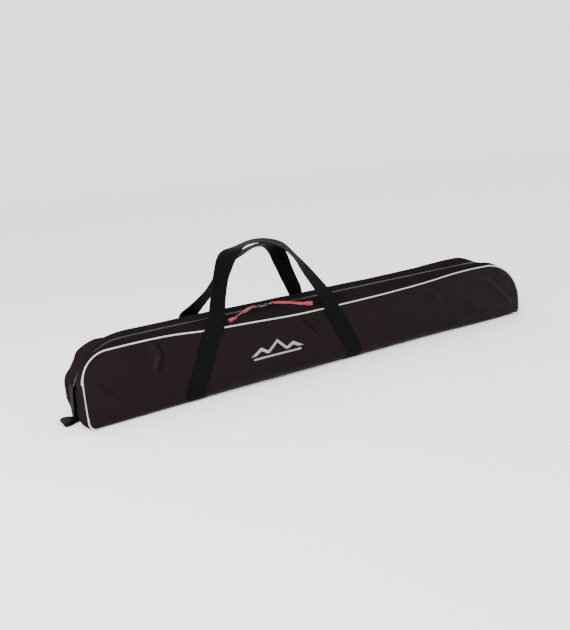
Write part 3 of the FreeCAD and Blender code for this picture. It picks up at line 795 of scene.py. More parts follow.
def material(key):
    """Makes each finish once, when the first piece asks for it."""
    makers = {
        "shell": lambda: woven_nylon("shell_nylon", colours().shell),
        # The gusset nylon gets no specular; its lighter colour is painted sheen.
        "gusset": lambda: woven_nylon("gusset_nylon_painted_sheen", colours().gusset, shine=0.0),
        "lining": lambda: woven_nylon("lining_fabric", colours().lining, 0.0009),
        "foam": lambda: moulded("padding_foam", (0.30, 0.30, 0.31), 0.85, 0.5, 0.4),
        "binding": lambda: tape_weave("binding_tape", colours().tape),
        "webbing": lambda: webbing_weave("black_webbing", colours().webbing),
        "thread": lambda: moulded("bonded_thread", tint(colours().webbing, 2.5), 0.7, shine=0.12),
        "piping": lambda: covered_cord("silver_piping", colours().piping),
        "tape": lambda: tape_weave("zip_tape", colours().tape),
        "coil": lambda: moulded("zip_coil", colours().coil, 0.35),
        "metal": lambda: painted_metal("black_enamel", colours().metal),
        "cord": lambda: braided_cord("red_braid", colours().cord),
        "moulded_end": lambda: moulded("red_moulded", colours().cord, 0.42),
        "emblem": lambda: screen_print("printed_ink", colours().emblem),
    }
    if key not in MATERIALS:
        MATERIALS[key] = makers[key]()
    return MATERIALS[key]


# ------------------------------------------------------------------ operators


def wrap_columns(count_corner=28, count_top=330):
    corner = np.linspace(0, 1, count_corner)
    top = np.linspace(1, 2, count_top)[1:]
    return np.concatenate([corner, top, 2 + corner[1:]])


def wrap_rows(first=0.0, last=1.0):
    front = np.linspace(0, WRAP_FRONT, 43)
    roll = WRAP_FRONT + WRAP_ROLL * np.linspace(0, 1, 9)[1:]
    base = WRAP_FRONT + WRAP_ROLL + WRAP_BASE * np.linspace(0, 1, 10)[1:]
    half = np.concatenate([front, roll])
    rows = np.concatenate([half, base[:-1], (1 - half)[::-1]])
    return rows[(rows >= first - 1e-9) & (rows <= last + 1e-9)]


class SKIBAG_OT_shell(bpy.types.Operator):
    """Front face, base and rear face, with the padding and lining behind them"""

    bl_idname = "skibag.shell"
    bl_label = "Shell"

    def execute(self, context):
        s = shape()
        columns, rows = wrap_columns(), wrap_rows()
        outer = sheet_mesh("fabric_shell", columns, rows, wrap_point)
        face_outwards(outer)
        thicken(outer, s.fabric)
        shade(outer)
        finish_piece(outer, "bag", "shell_nylon", "shell", "outer_shell")
        coarse = wrap_columns(12, 90)
        parts = (("foam_front", 0.012, WRAP_FRONT + 0.02),
                 ("foam_base", WRAP_FRONT + 0.03, 0.97 - WRAP_FRONT),
                 ("foam_rear", 0.98 - WRAP_FRONT, 0.988))
        for name, first, last in parts:
            lines = np.linspace(first, last, 24)
            pad = sheet_mesh(f"padding_{name[5:]}", 0.06 + coarse * 0.96, lines,
                             lambda q, v: wrap_point(q, v, s.fabric + 0.0002))
            face_outwards(pad)
            thicken(pad, s.foam)
            shade(pad, 40)
            finish_piece(pad, "bag", "padding_foam", "foam", name)
        inner = sheet_mesh("lining_shell", 0.04 + wrap_columns(16, 120) * 0.973, wrap_rows(0.008, 0.992),
                           lambda q, v: wrap_point(q, v, s.fabric + s.foam + 0.0004))
        face_outwards(inner)
        thicken(inner, s.lining)
        shade(inner, 40)
        finish_piece(inner, "bag", "lining_fabric", "lining", "lining")
        return {"FINISHED"}


def band_over(name, face, p0, p1, count, t0, t1, t_count, thickness, lift=0.0):
    """Part of the top or of an end, between two places along the bag and two across it."""
    columns = np.linspace(p0, p1, count)
    rows = np.linspace(t0, t1, t_count)
    obj = sheet_mesh(name, columns, rows, lambda p, t: top_point(face, p, t, lift))
    face_outwards(obj)
    thicken(obj, thickness)
    shade(obj, 50)
    return obj


# Where the zipper stops at the foot of each end, along the zipper's line.
ZIP_FOOT = {-1: 0.31, 1: 2.69}


class SKIBAG_OT_ends(bpy.types.Operator):
    """End gussets, the zipper round both corners, and its stops"""

    bl_idname = "skibag.ends"
    bl_label = "Ends"

    def execute(self, context):
        s = shape()
        for side_name, side in SIDES:
            if side < 0:
                whole, ends = (0.01, 1.0), (ZIP_FOOT[side], 1.0)
            else:
                whole, ends = (2.0, 2.99), (2.0, ZIP_FOOT[side])
            for face_name, face in FACES:
                name = f"{side_name}_gusset_{face_name}"
                gusset = band_over(name, face, *whole, 90, 0.0, 1.0, 22, s.fabric)
                finish_piece(gusset, "bag", "shell_nylon", "gusset", f"{side_name}_end_gusset_{face_name}")
            tapes = [band_over("tape", face, *ends, 80, 0.96, 2.0, 7, 0.0008, 0.0002) for _, face in FACES]
            tape = join(tapes, f"{side_name}_zip_tapes")
            finish_piece(tape, "bag", "zip_tape", "tape", f"{side_name}_end_zip_tapes")
            coil = coil_along(f"{side_name}_zip_coils", ends, FACES)
            finish_piece(coil, "bag", "zip_coil", "coil", f"{side_name}_end_zip_coils")
            wear(bpy.data.objects[f"{side_name}_end_zip_stop"], "metal")
        return {"FINISHED"}


def coil_tooth():
    """One turn of the coil: a bent loop of round plastic that reaches over the zipper's middle."""
    deselect()
    bpy.ops.mesh.primitive_cube_add(size=1)
    tooth = bpy.context.object
    bpy.ops.object.mode_set(mode="EDIT")
    bpy.ops.mesh.select_all(action="SELECT")
    bpy.ops.transform.resize(value=(0.0013, 0.0040, 0.0012))
    bpy.ops.mesh.bevel(offset=0.00038, segments=1, affect="EDGES")
    bpy.ops.object.mode_set(mode="OBJECT")
    return tooth


def coil_along(name, ends, faces):
    """Rows of coil turns along part of the zipper, one for each face, half a turn apart."""
    s = shape()
    p = np.linspace(ends[0], ends[1], 600)
    x, z = rim(0).along(p)
    run = np.concatenate([[0], np.cumsum(np.hypot(np.diff(x), np.diff(z)))])
    places = []
    count = int(run[-1] / s.tooth_pitch)
    for _, face in faces:
        offset = 0.25 if face < 0 else 0.75
        wanted = (np.arange(count) + offset) * s.tooth_pitch
        at = np.interp(wanted, run, p)
        px, pz, tx, tz, nx, nz = rim(0).frame_at(at)
        for i in range(len(at)):
            origin = (px[i] + nx[i] * 0.0007, face * 0.0014, pz[i] + nz[i] * 0.0007)
            places.append(place_matrix(origin, (tx[i], 0, tz[i]), (nx[i], 0, nz[i])))
    obj = copies(coil_tooth(), places, name)
    shade(obj, 40)
    return obj


# The thirds of the mouth, from p to p.
MOUTH_PARTS = (("left", 1.0, 1.38), ("middle", 1.38, 1.62), ("right", 1.62, 2.0))


class SKIBAG_OT_mouth(bpy.types.Operator):
    """Top strips, zipper tapes and coils along the mouth"""

    bl_idname = "skibag.mouth"
    bl_label = "Mouth"

    def execute(self, context):
        s = shape()
        fold_t = (s.half_depth - s.hinge_y) / (s.half_depth - s.tape_edge)
        for face_name, face in FACES:
            hem = band_over(f"{face_name}_seam_hem", face, 1.0, 2.0, 230, 0.0, fold_t, 6, s.fabric)
            finish_piece(hem, "bag", "shell_nylon", "gusset")
            for part, p0, p1 in MOUTH_PARTS:
                self.part(face_name, face, part, p0, p1, fold_t)
        return {"FINISHED"}

    def part(self, face_name, face, part, p0, p1, fold_t):
        """One third of a strip, with its tape and coil."""
        s = shape()
        flap = f"{face_name}_flap"
        x0, x1 = (-s.mouth_half + 2 * s.mouth_half * (p - 1) for p in (p0, p1))
        height = (0.0, s.zip_height)
        body = {
            "left": ("bag", flap, (x0, *height), (x1, *height)),
            "middle": flap,
            "right": (flap, "bag", (x0, *height), (x1, *height)),
        }[part]
        count = max(24, int((p1 - p0) * 230))
        strip = band_over(f"{face_name}_strip_{part}", face, p0, p1, count, fold_t, 1.0, 16, s.fabric)
        finish_piece(strip, body, "shell_nylon", "gusset", f"{face_name}_top_strip")
        tape = band_over(f"{face_name}_tape_{part}", face, p0, p1, count, 0.97, 2.0, 7, 0.0008, 0.0002)
        finish_piece(tape, body, "zip_tape", "tape", f"{face_name}_zip_tape")
        coil = coil_along(f"{face_name}_coil_{part}", (p0, p1), [(face_name, face)])
        finish_piece(coil, body, "zip_coil", "coil", f"{face_name}_zip_coil")


class SKIBAG_OT_piping(bpy.types.Operator):
    """Covered cord round the front and rear faces, turned in across the foot of each end"""

    bl_idname = "skibag.piping"
    bl_label = "Piping"

    def execute(self, context):
        s = shape()
        for face_name, face in FACES:
            p = np.concatenate([np.linspace(0, 1, 90), np.linspace(1, 2, 180)[1:], np.linspace(2, 3, 90)[1:]])
            x, z, _, _, nx, nz = rim(face).frame_at(p)
            proud = 0.0006
            y = np.full_like(x, face * (s.half_depth + 0.0004))
            line = np.stack([x + nx * proud, y, z + nz * proud], -1)
            left_foot, right_foot = self.foot(line[0], face, 1), self.foot(line[-1], face, -1)
            points = [*left_foot[::-1], *line, *right_foot]
            cord = tube_mesh(f"{face_name}_piping_cord", points, s.piping_radius, 3)
            shade(cord)
            finish_piece(cord, "bag", "piping", "piping", f"{face_name}_piping")
            binding = self.binding(face)
            finish_piece(binding, "bag", "binding_tape", "binding", f"{face_name}_seam_binding")
        return {"FINISHED"}

    def foot(self, end, face, inward):
        """The piping's turn under the end of the bag, and its run across to the middle."""
        x, y, z = end
        z = max(z, shape().piping_radius + 0.0002)
        reach, turn_depth, across_from = 0.006, 0.008, 0.062
        turn = [(x + inward * reach * math.sin(a), y - face * turn_depth * (1 - math.cos(a)), z)
                for a in np.linspace(0.3, math.pi / 2, 6)]
        return turn + [(x + inward * reach, face * across_from * (1 - k), z)
                       for k in np.linspace(0, 0.985, 24)[1:]]

    def binding(self, face):
        """Tape over the raw seam inside."""
        s = shape()
        depth = s.half_depth - 0.0072

        def surface(p, t):
            x, z, _, _, nx, nz = rim(face).frame_at(p)
            inset = 0.003 + 0.009 * t
            wave = 0.0004 * np.sin(p * 130.0)
            return np.stack([x - nx * inset, np.full_like(x, face * depth) + wave * t, z - nz * inset], -1)

        obj = sheet_mesh(f"seam_tape_{'front' if face < 0 else 'rear'}", np.linspace(0.08, 2.92, 300),
                         np.linspace(0, 1, 4), surface)
        thicken(obj, 0.0006, 0.0)
        shade(obj, 40)
        return obj


# Centre of each strap on the top seam and at the base, in X.
STRAPS = {"left": (-0.319, -0.371), "right": (-0.027, 0.031)}
# Cosine of the straps' slant: a strap is this much wider in X than it is square to its edges.
STRAP_SLANT = 0.93


def strap_x(name, v):
    """X of a strap's centre: it slants down each face, and runs straight under the base."""
    top, base = STRAPS[name]
    down = np.clip(np.minimum(v, 1 - v) / WRAP_FRONT, 0, 1)
    return top + (base - top) * down


def on_face(face, x, v, lift):
    """Points on the outer fabric at X and v, raised off it. The base is square to the faces."""
    q = face_q(face, x)
    return wrap_point(q, v) + wrap_normal(q, v) * np.asarray(lift)[..., None]


class SKIBAG_OT_straps(bpy.types.Operator):
    """Webbing straps sewn round the base and up both faces"""

    bl_idname = "skibag.straps"
    bl_label = "Straps"

    def execute(self, context):
        s = shape()
        for name in STRAPS:
            low = WRAP_FRONT * 0.90

            def surface(u, v):
                x = strap_x(name, v) + (u - 0.5) * s.webbing / STRAP_SLANT
                return on_face(-1, x, v, np.full_like(x, 0.0002))

            rows = np.linspace(low, 1 - low, 90)
            belt = sheet_mesh(f"{name}_base_strap", np.linspace(0, 1, 13), rows, surface)
            face_outwards(belt)
            uv_in_metres(belt, s.webbing)
            thicken(belt, 0.0010, 1.0)
            shade(belt, 50)
            finish_piece(belt, "bag", "webbing", "webbing", f"sewn_strap_{name}")
        return {"FINISHED"}


def uv_in_metres(obj, width):
    """The grid's own UV, stretched so that U runs 0 to width across and V along, in metres."""
    mesh = obj.data
    layer = mesh.uv_layers.active or mesh.uv_layers.new(name="UVMap")
    area = sum(polygon.area for polygon in mesh.polygons)
    length = area / width
    for entry in layer.data:
        entry.uv = (entry.uv[0] * width, entry.uv[1] * length)


# Free part of each handle, from the left strap over the top to the right strap: X, Y, Z in metres, and
# how far the webbing has turned, in degrees, from lying flat against the face to lying across it.
HANDLE_ROUTES = {
    -1: ((-0.3165, -0.0712, 0.142, 0), (-0.307, -0.0625, 0.163, -2), (-0.285, -0.041, 0.211, -6),
         (-0.265, -0.025, 0.248, 2), (-0.243, -0.014, 0.275, 46), (-0.210, -0.007, 0.291, 90),
         (-0.168, -0.004, 0.297, 84), (-0.134, -0.006, 0.292, 72), (-0.104, -0.012, 0.2785, 60),
         (-0.083, -0.022, 0.2535, 55), (-0.065, -0.035, 0.221, 38), (-0.048, -0.050, 0.188, 27),
         (-0.036, -0.0630, 0.160, 12), (-0.0305, -0.0700, 0.142, 4)),
    1: ((-0.3160, 0.0712, 0.142, 0), (-0.300, 0.0645, 0.160, 24), (-0.267, 0.053, 0.192, 38),
        (-0.242, 0.043, 0.227, 44), (-0.216, 0.034, 0.2565, 52), (-0.184, 0.025, 0.274, 58),
        (-0.152, 0.020, 0.284, 70), (-0.122, 0.022, 0.2795, 76), (-0.099, 0.028, 0.263, 54),
        (-0.084, 0.034, 0.238, 16), (-0.068, 0.043, 0.208, 4), (-0.052, 0.053, 0.183, 0),
        (-0.036, 0.064, 0.158, 0), (-0.0305, 0.0700, 0.142, 0)),
}
HANDLE_FREE = (0.126, 0.142)


def handle_line(face):
    """Closely spaced centre points, edge directions and stations of one handle with its sewn ends."""
    s = shape()
    sewn = []
    for name in STRAPS:
        v = np.linspace(WRAP_FRONT * 0.97, WRAP_FRONT * 0.06, 14)
        v = v if face < 0 else 1 - v
        x = strap_x(name, v)
        points = on_face(face, x, v, np.full_like(x, 0.0013))
        slant = np.gradient(points, axis=0)
        normal = wrap_normal(face_q(face, x), v)
        wide = np.cross(normal, slant)
        wide /= np.linalg.norm(wide, axis=1, keepdims=True)
        wide *= np.sign(wide[:, :1])
        sewn.append((points, wide))
    route = np.array(HANDLE_ROUTES[face], float)
    middle = route[:, :3]
    along = np.gradient(middle, axis=0)
    along /= np.linalg.norm(along, axis=1, keepdims=True)
    across = np.array([0.0, 1.0, 0.0]) - along * along[:, 1:2]
    across /= np.linalg.norm(across, axis=1, keepdims=True)
    flat = np.cross(across, along)
    turn = np.radians(route[:, 3:4])
    wide = flat * np.cos(turn) + across * (face * np.sin(turn))
    start = 1.0 if wide[0, 0] > 0 else -1.0
    wide = wide * start
    left_points, left_wide = sewn[0]
    right_points, right_wide = sewn[1][0][::-1], sewn[1][1][::-1]
    if np.dot(right_wide[0], wide[-1]) < 0:
        right_wide = -right_wide
    points = np.concatenate([left_points, middle, right_points])
    wides = np.concatenate([left_wide, wide, right_wide])
    for i in range(1, len(wides)):
        if np.dot(wides[i], wides[i - 1]) < 0:
            wides[i] *= -1
    return points, wides


def resample(points, wides, spacing):
    """Smooth curve through the points, at an even spacing, with the edge directions carried along."""
    steps = np.linalg.norm(np.diff(points, axis=0), axis=1) ** 0.5
    knots = np.concatenate([[0], np.cumsum(steps)])
    curves = [through(list(zip(knots, points[:, k]))) for k in range(3)]
    edges = [through(list(zip(knots, wides[:, k]))) for k in range(3)]
    fine = np.linspace(0, knots[-1], 1200)
    line = np.stack([c(fine) for c in curves], -1)
    run = np.concatenate([[0], np.cumsum(np.linalg.norm(np.diff(line, axis=0), axis=1))])
    even = np.linspace(0, run[-1], int(run[-1] / spacing))
    at = np.interp(even, run, fine)
    line = np.stack([c(at) for c in curves], -1)
    wide = np.stack([c(at) for c in edges], -1)
    return line, wide / np.linalg.norm(wide, axis=1, keepdims=True), even


class SKIBAG_OT_handles(bpy.types.Operator):
    """Carry handles: one length of webbing each, sewn down both straps and free above them"""

    bl_idname = "skibag.handles"
    bl_label = "Handles"

    def execute(self, context):
        s = shape()
        for face_name, face in FACES:
            line, wide, run = resample(*handle_line(face), 0.004)

            def surface(u, k):
                i = np.rint(k).astype(int)
                return line[i] + wide[i] * ((u - 0.5) * s.webbing)[:, None]

            columns = np.linspace(0, 1, 11)
            band = sheet_mesh(f"{face_name}_handle_webbing", columns, np.arange(len(line)), surface)
            mesh = band.data
            for entry in mesh.uv_layers.active.data:
                entry.uv = (entry.uv[0] * s.webbing, entry.uv[1] * float(run[-1]))
            thicken(band, s.webbing_thickness, 0.0)
            shade(band, 50)
            body = ("bag", f"{face_name}_carry_handle", (0, 0, HANDLE_FREE[0]), (0, 0, HANDLE_FREE[1]))
            finish_piece(band, body, "webbing", "webbing", f"{face_name}_handle")
        return {"FINISHED"}


def dashes(name, points, normals, width=0.0007, gap=0.3):
    """Stitches: short rounded dashes of thread along a line of points."""
    deselect()
    bpy.ops.mesh.primitive_cube_add(size=1)
    stitch = bpy.context.object
    bpy.ops.object.mode_set(mode="EDIT")
    bpy.ops.mesh.select_all(action="SELECT")
    bpy.ops.transform.resize(value=(1.0, width, width * 0.6))
    bpy.ops.object.mode_set(mode="OBJECT")
    places = []
    for a, b, n in zip(points[:-1], points[1:], normals):
        centre = (a + b) / 2 + n * width * 0.1
        place = place_matrix(centre, b - a, n)
        places.append(place @ Matrix.Diagonal((float(np.linalg.norm(b - a)) * (1 - gap), 1, 1, 1)))
    return copies(stitch, places, name)


class SKIBAG_OT_stitching(bpy.types.Operator):
    """Sewn boxes where the handles leave the straps, and a row of stitches along each seam"""

    bl_idname = "skibag.stitching"
    bl_label = "Stitching"

    def execute(self, context):
        rows = []
        for _, face in FACES:
            for name in STRAPS:
                rows.append(self.strap_box(name, face))
        boxes = join(rows, "strap_thread")
        finish_piece(boxes, "bag", "thread", "thread", "strap_stitching")
        seams = []
        for _, face in FACES:
            q = np.linspace(0.0, 3.0, 520)
            v = np.full_like(q, 0.018)
            v = v if face < 0 else 1 - v
            points = wrap_point(q, v) + wrap_normal(q, v) * 0.00015
            seams.append(dashes("seam", points, wrap_normal(q, v), 0.0006))
        seam = join(seams, "seam_thread")
        finish_piece(seam, "bag", "thread", "thread")
        return {"FINISHED"}

    def strap_box(self, name, face):
        """A stitched rectangle crossed corner to corner."""
        reach, low, high = 0.0145, 0.30 * WRAP_FRONT, 0.10 * WRAP_FRONT
        corners = [(-reach, low), (reach, low), (reach, high), (-reach, high), (-reach, low), (reach, high)]
        corners += [(reach, low), (-reach, high)]
        sets = []
        for (u0, v0), (u1, v1) in zip(corners[:-1], corners[1:]):
            steps = max(6, int(math.hypot(u1 - u0, (v1 - v0) * 0.38) / 0.0034))
            u, v = np.linspace(u0, u1, steps + 1), np.linspace(v0, v1, steps + 1)
            v = v if face < 0 else 1 - v
            x = strap_x(name, v) + u
            normals = wrap_normal(face_q(face, x), v)
            points = on_face(face, x, v, np.full_like(x, 0.0023))
            sets.append(dashes("box", points, normals, 0.0007))
        return join(sets, f"box_{name}_{face}")


class SKIBAG_OT_tabs(bpy.types.Operator):
    """Webbing bands below the zipper's ends, and the grab tabs at the foot of each end"""

    bl_idname = "skibag.tabs"
    bl_label = "Tabs"

    def execute(self, context):
        for side_name, side in SIDES:
            band = self.band(side_name, side)
            finish_piece(band, "bag", "webbing", "webbing", f"{side_name}_end_tab_band")
            loop = self.loop(side_name, side)
            finish_piece(loop, "bag", "webbing", "webbing", f"{side_name}_end_tab_loop")
        return {"FINISHED"}

    def band(self, side_name, side):
        foot = ZIP_FOOT[side]
        ends = (0.03, foot + 0.015) if side < 0 else (foot - 0.015, 2.97)

        def surface(p, u):
            x, z, _, _, nx, nz = rim(0).frame_at(p)
            share = (p - ends[0]) / (ends[1] - ends[0])
            low = 1 - share if side < 0 else share
            y = 0.014 * smooth(low) + (u - 0.5) * (0.025 - 0.004 * low)
            ridge = 0.0052 + 0.0008 * np.cos((u - 0.5) * math.pi)
            return np.stack([x + nx * ridge, y, z + nz * ridge], -1)

        obj = sheet_mesh(f"{side_name}_tab_band", np.linspace(*ends, 30), np.linspace(0, 1, 9), surface)
        face_outwards(obj)
        uv_in_metres(obj, 0.025)
        thicken(obj, 0.0015, 1.0)
        shade(obj, 50)
        return obj

    def loop(self, side_name, side):
        """A doubled strip, narrow and pinched at its root, spreading to its folded tip."""
        (x0, y0, z0), (x1, y1, z1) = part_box(f"{side_name}_end_tab_loop")
        root, tip = (x1, x0) if side < 0 else (x0, x1)
        middle = (y0 + y1) / 2
        reach = abs(tip - root)

        def surface(s, u):
            out = np.where(s < 1, s, 2 - s)
            spread = 0.0075 + 0.0105 * smooth(out * 1.3)
            turn = np.clip((out - 0.86) / 0.14, 0, 1)
            gap = 0.0013 + 0.0030 * np.sin(np.clip(out, 0, 1) * math.pi * 0.62) * (1 - turn ** 2)
            level = 0.0042 + 0.0022 * (1 - out) + np.where(s < 1, -1, 1) * gap
            pucker = 0.0012 * (1 - out) * np.cos(u * 14.0)
            x = root + side * reach * out - side * 0.003
            return np.stack([x, middle + (u - 0.5) * 2 * spread, np.maximum(level + pucker, 0.0012)], -1)

        obj = sheet_mesh(f"{side_name}_grab_tab", np.linspace(0, 2, 49), np.linspace(0, 1, 13), surface)
        uv_in_metres(obj, 0.036)
        thicken(obj, 0.0013, 0.0)
        shade(obj, 50)
        return obj


# Centre line of each doubled pull cord as steps in millimetres from the puller's tip: away from the slider,
# forward, down, and the pair's roll in degrees, which lifts the rear strand.
PULL_ROUTES = {
    -1: ((0, 0, 0, 0), (9, -4, 0.3, 14), (24, -16, -0.6, 34), (41, -29, -2.6, 36), (58, -40, -4.4, 26),
         (71, -46.5, -5.2, 15)),
    1: ((0, 0, 0, 0), (9, -4, 0.3, 14), (20, -16, -0.8, 34), (33, -29.5, -3.0, 36), (45, -40, -4.6, 26),
        (55, -46.5, -5.3, 15)),
}
SLIDER_X = {-1: -171.5, 1: -154.0}
PULLER_TIP = 18.5
EYE_INSET = 4.0
PIN_Z = 154.1
STRAND_APART = 2.08
END_LENGTH, END_WIDTH, END_THICKNESS = 0.016, 0.010, 0.0064


def pull_line(side):
    """Centre points of a pull's cord in metres, with the direction from one strand to the other at each."""
    start = Vector((SLIDER_X[side] + side * PULLER_TIP, 0, PIN_Z))
    centre = [start + Vector((side * a, b, c)) for a, b, c, _ in PULL_ROUTES[side]]
    apart = []
    for i, step in enumerate(PULL_ROUTES[side]):
        along = (centre[min(i + 1, len(centre) - 1)] - centre[max(i - 1, 0)]).normalized()
        level = Vector((-along.y, along.x, 0)).normalized()
        roll = math.radians(step[3])
        apart.append(level * math.cos(roll) + Vector((0, 0, math.copysign(math.sin(roll), level.y))))
    return [point * MM for point in centre], apart


def strand_points(side, offset):
    """One strand of a doubled cord, in metres, beside the centre line by offset in millimetres."""
    return [point + away * offset * MM for point, away in zip(*pull_line(side))]


class SKIBAG_OT_pulls(bpy.types.Operator):
    """Zipper pulls: doubled red cord from each puller to a moulded end"""

    bl_idname = "skibag.pulls"
    bl_label = "Pulls"

    def execute(self, context):
        for side_name, side in SIDES:
            body = f"{side_name}_zip_pull"
            end = self.moulded_end(side_name, side)
            finish_piece(end, body, "pull_end", "moulded_end", f"{side_name}_pull_end")
            bight = self.bight(side_name, side)
            finish_piece(bight, body, "pull_cord", "cord")
            for letter, offset in (("a", -STRAND_APART), ("b", STRAND_APART)):
                points = strand_points(side, offset)
                strand = self.strand(f"{side_name}_cord_{letter}", points)
                finish_piece(strand, body, "pull_cord", "cord", f"{side_name}_pull_cord_{letter}")
                route_length(points)
            for node in (f"{side_name}_slider", f"{side_name}_puller"):
                wear(bpy.data.objects[node], "metal")
        return {"FINISHED"}

    def strand(self, name, points):
        data = bpy.data.curves.new(name, "CURVE")
        data.dimensions = "3D"
        data.bevel_depth = shape().cord / 2
        data.bevel_resolution = 3
        data.resolution_u = 16
        data.use_fill_caps = True
        spline = data.splines.new("NURBS")
        spline.points.add(len(points) - 1)
        for target, point in zip(spline.points, points):
            target.co = (*point, 1)
        spline.order_u = 3
        spline.use_endpoint_u = True
        obj = bpy.data.objects.new(name, data)
        bpy.context.collection.objects.link(obj)
        return obj

    def moulded_end(self, side_name, side):
        """A flat rubber grip, waisted in the middle and ribbed across."""
        centre, apart = pull_line(side)
        along = centre[-1] - centre[-2]
        up = along.cross(apart[-1])
        place = place_matrix(centre[-1], along, up * math.copysign(1, up.z))
        deselect()
        bpy.ops.mesh.primitive_cube_add(size=1)
        end = bpy.context.object
        end.name = end.data.name = f"{side_name}_moulded_end"
        bpy.ops.object.mode_set(mode="EDIT")
        bpy.ops.mesh.select_all(action="SELECT")
        bpy.ops.transform.resize(value=(END_LENGTH, END_WIDTH, END_THICKNESS))
        bpy.ops.mesh.subdivide(number_cuts=7)
        bpy.ops.object.mode_set(mode="OBJECT")
        for vertex in end.data.vertices:
            along = vertex.co.x / END_LENGTH * 2
            waist = 1 - 0.10 * math.cos(along * math.pi / 2) - 0.10 * abs(along) ** 4
            rib = 1 + 0.06 * math.cos(along * math.pi * 5) * (abs(along) < 0.85)
            vertex.co.y *= waist
            vertex.co.z *= waist * rib
            vertex.co.x += END_LENGTH / 2 - 0.0004
        end.data.transform(place)
        apply_modifier(end, "SUBSURF", levels=2, render_levels=2)
        shade(end)
        return end

    def bight(self, side_name, side):
        """The cord's loop through the puller's eye, joining the two strands."""
        x = (SLIDER_X[side] + side * (PULLER_TIP - EYE_INSET)) * MM
        tip = strand_points(side, -STRAND_APART)[0], strand_points(side, STRAND_APART)[0]
        z = PIN_Z * MM
        y = abs(tip[0].y)
        loop_points = [
            (tip[0].x + side * 0.001, -y, z),
            (tip[0].x - side * 0.0005, -y, z + 0.0012),
            (x + side * 0.0022, -y * 0.9, z + 0.0027),
            (x + side * 0.0003, -0.0008, z + 0.0022),
            (x, 0, z),
            (x + side * 0.0003, 0.0008, z - 0.0022),
            (x + side * 0.0022, y * 0.9, z - 0.0022),
            (tip[1].x - side * 0.0005, y, z - 0.0010),
            (tip[1].x + side * 0.001, y, z),
        ]
        loop = tube_mesh(f"{side_name}_cord_bight", smooth_line(loop_points, 60), 0.0017, 2)
        shade(loop)
        return loop


def smooth_line(points, count):
    points = np.array(points, float)
    knots = np.concatenate([[0], np.cumsum(np.linalg.norm(np.diff(points, axis=0), axis=1))])
    fine = np.linspace(0, knots[-1], count)
    return np.stack([through(list(zip(knots, points[:, k])))(fine) for k in range(3)], -1)


# A cord's smooth line is this much shorter than the straight runs of its route.
SMOOTH_SHARE = 0.995


def route_length(points):
    """Length of the cord that follows the route."""
    runs = sum((b - a).length for a, b in zip(points, points[1:]))
    return round(runs * SMOOTH_SHARE, 4)


class SKIBAG_OT_emblem(bpy.types.Operator):
    """Generic screen print: a ridge of peaks over a ground line"""

    bl_idname = "skibag.emblem"
    bl_label = "Emblem"

    PEAKS = ((0.0, 9.0), (0.2, 25.0), (0.33, 15.0), (0.5, 36.0), (0.68, 14.0), (0.8, 23.0), (1.0, 9.0))

    def execute(self, context):
        left, wide, low = -0.240, 0.132, 0.056
        us = [u for u, _ in self.PEAKS]
        hs = [h for _, h in self.PEAKS]

        def ridge(u, t):
            top = np.interp(u, us, hs)
            bottom = np.where((u > 0) & (u < 1), np.maximum(top - 7.5, 9.0), 8.0)
            bottom = np.minimum(bottom, top - 0.6)
            return self.on_front(left + wide * u, low + (bottom + (top - bottom) * t) * MM)

        def ground(u, t):
            return self.on_front(left + 0.006 + (wide - 0.012) * u, low + 0.004 * t)

        across = np.unique(np.concatenate([np.linspace(0, 1, 81), us]))
        parts = [sheet_mesh("ridge", across, np.linspace(0, 1, 6), ridge),
                 sheet_mesh("ground", np.linspace(0, 1, 60), np.linspace(0, 1, 3), ground)]
        for part in parts:
            face_outwards(part)
        mark = join(parts, "front_print")
        thicken(mark, 0.0002, 1.0)
        shade(mark, 40)
        finish_piece(mark, "bag", "emblem_print", "emblem", "printed_emblem")
        return {"FINISHED"}

    def on_front(self, x, z):
        """Points on the front face at X and Z."""
        q = face_q(-1, x)
        top = rim(-1).over(q)[1]
        r = roll_radius(x)
        v = (top - z) / (top - r) * WRAP_FRONT
        return wrap_point(q, v) + wrap_normal(q, v) * 0.00012


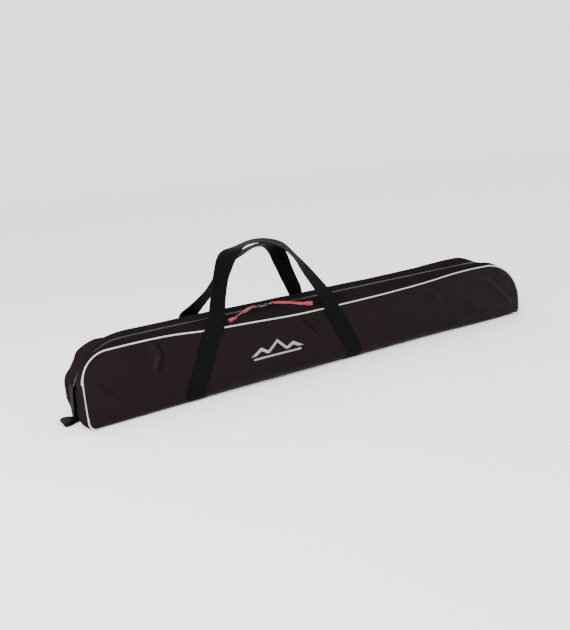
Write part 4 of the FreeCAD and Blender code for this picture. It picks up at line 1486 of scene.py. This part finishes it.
class SKIBAG_OT_stage(bpy.types.Operator):
    """Floor, lights and camera"""

    bl_idname = "skibag.stage"
    bl_label = "Stage"

    def execute(self, context):
        settings = context.scene.ski_bag_stage
        deselect()
        bpy.ops.mesh.primitive_plane_add(size=settings.floor_size, location=(0, 0, 0))
        floor = bpy.context.object
        floor.name = floor.data.name = "studio_floor"
        paint = Paint("pale_floor")
        grain = paint.noise(paint.place(), 3.0)
        base = paint.mix(grain, (0.93, 0.93, 0.93), (0.95, 0.95, 0.95))
        floor.data.materials.append(paint.finish(base_color=base, roughness=0.85))
        self.world(context, settings.sky)
        self.light("key", (-1.1, -1.3, 2.5), (0.0, 0.0, 0.05), (1.8, 1.0), settings.key_power)
        self.light("side", (-2.3, -1.1, 0.9), (-0.1, 0.0, 0.07), (1.0, 1.0), settings.side_power)
        self.camera(context, settings)
        return {"FINISHED"}

    def world(self, context, strength):
        world = bpy.data.worlds.new("studio")
        world.use_nodes = True
        background = world.node_tree.nodes["Background"]
        background.inputs["Color"].default_value = (1.0, 1.0, 1.0, 1.0)
        background.inputs["Strength"].default_value = strength
        context.scene.world = world

    def light(self, name, position, target, size, power):
        data = bpy.data.lights.new(name, "AREA")
        data.shape = "RECTANGLE"
        data.size, data.size_y = size
        data.energy = power
        lamp = bpy.data.objects.new(name, data)
        lamp.location = position
        lamp.rotation_euler = (Vector(target) - Vector(position)).to_track_quat("-Z", "Y").to_euler()
        bpy.context.collection.objects.link(lamp)

    def camera(self, context, settings):
        right = Vector((0.84198195, -0.53240214, -0.08726026))
        up = Vector((0.18879324, 0.1392468, 0.97209436))
        back = right.cross(up)
        data = bpy.data.cameras.new("camera")
        data.sensor_fit = "VERTICAL"
        data.sensor_height = 36.0
        data.lens = settings.focal
        camera = bpy.data.objects.new("camera", data)
        camera.matrix_world = Matrix((
            (right.x, up.x, back.x, -0.89697), (right.y, up.y, back.y, -1.30366),
            (right.z, up.z, back.z, 0.46145), (0, 0, 0, 1)))
        context.collection.objects.link(camera)
        context.scene.camera = camera


OPERATORS = (SKIBAG_OT_stage, SKIBAG_OT_pulls, SKIBAG_OT_shell, SKIBAG_OT_ends, SKIBAG_OT_mouth,
             SKIBAG_OT_piping, SKIBAG_OT_straps, SKIBAG_OT_handles, SKIBAG_OT_stitching, SKIBAG_OT_tabs,
             SKIBAG_OT_emblem)


class SKIBAG_PT_panel(bpy.types.Panel):
    """Sidebar panel with the settings and one button for each group of pieces"""

    bl_label = "Ski Bag"
    bl_idname = "SKIBAG_PT_panel"
    bl_space_type = "VIEW_3D"
    bl_region_type = "UI"
    bl_category = "Ski Bag"

    def draw(self, context):
        scene = context.scene
        for group in (scene.ski_bag_shape, scene.ski_bag_colours, scene.ski_bag_stage):
            box = self.layout.box()
            for key in group.__annotations__:
                box.prop(group, key)
        for operator in OPERATORS:
            self.layout.operator(operator.bl_idname)


CLASSES = (SkiBagShape, SkiBagColours, SkiBagStage, *OPERATORS, SKIBAG_PT_panel)


def register():
    for cls in CLASSES:
        bpy.utils.register_class(cls)
    bpy.types.Scene.ski_bag_shape = PointerProperty(type=SkiBagShape)
    bpy.types.Scene.ski_bag_colours = PointerProperty(type=SkiBagColours)
    bpy.types.Scene.ski_bag_stage = PointerProperty(type=SkiBagStage)


def unregister():
    del bpy.types.Scene.ski_bag_stage
    del bpy.types.Scene.ski_bag_colours
    del bpy.types.Scene.ski_bag_shape
    for cls in reversed(CLASSES):
        bpy.utils.unregister_class(cls)


def main():
    register()
    for operator in OPERATORS:
        group, name = operator.bl_idname.split(".")
        result = getattr(getattr(bpy.ops, group), name)()
        if "FINISHED" not in result:
            raise RuntimeError(f"{operator.bl_idname} did not finish")
    deselect()


if __name__ == "__main__":
    main()
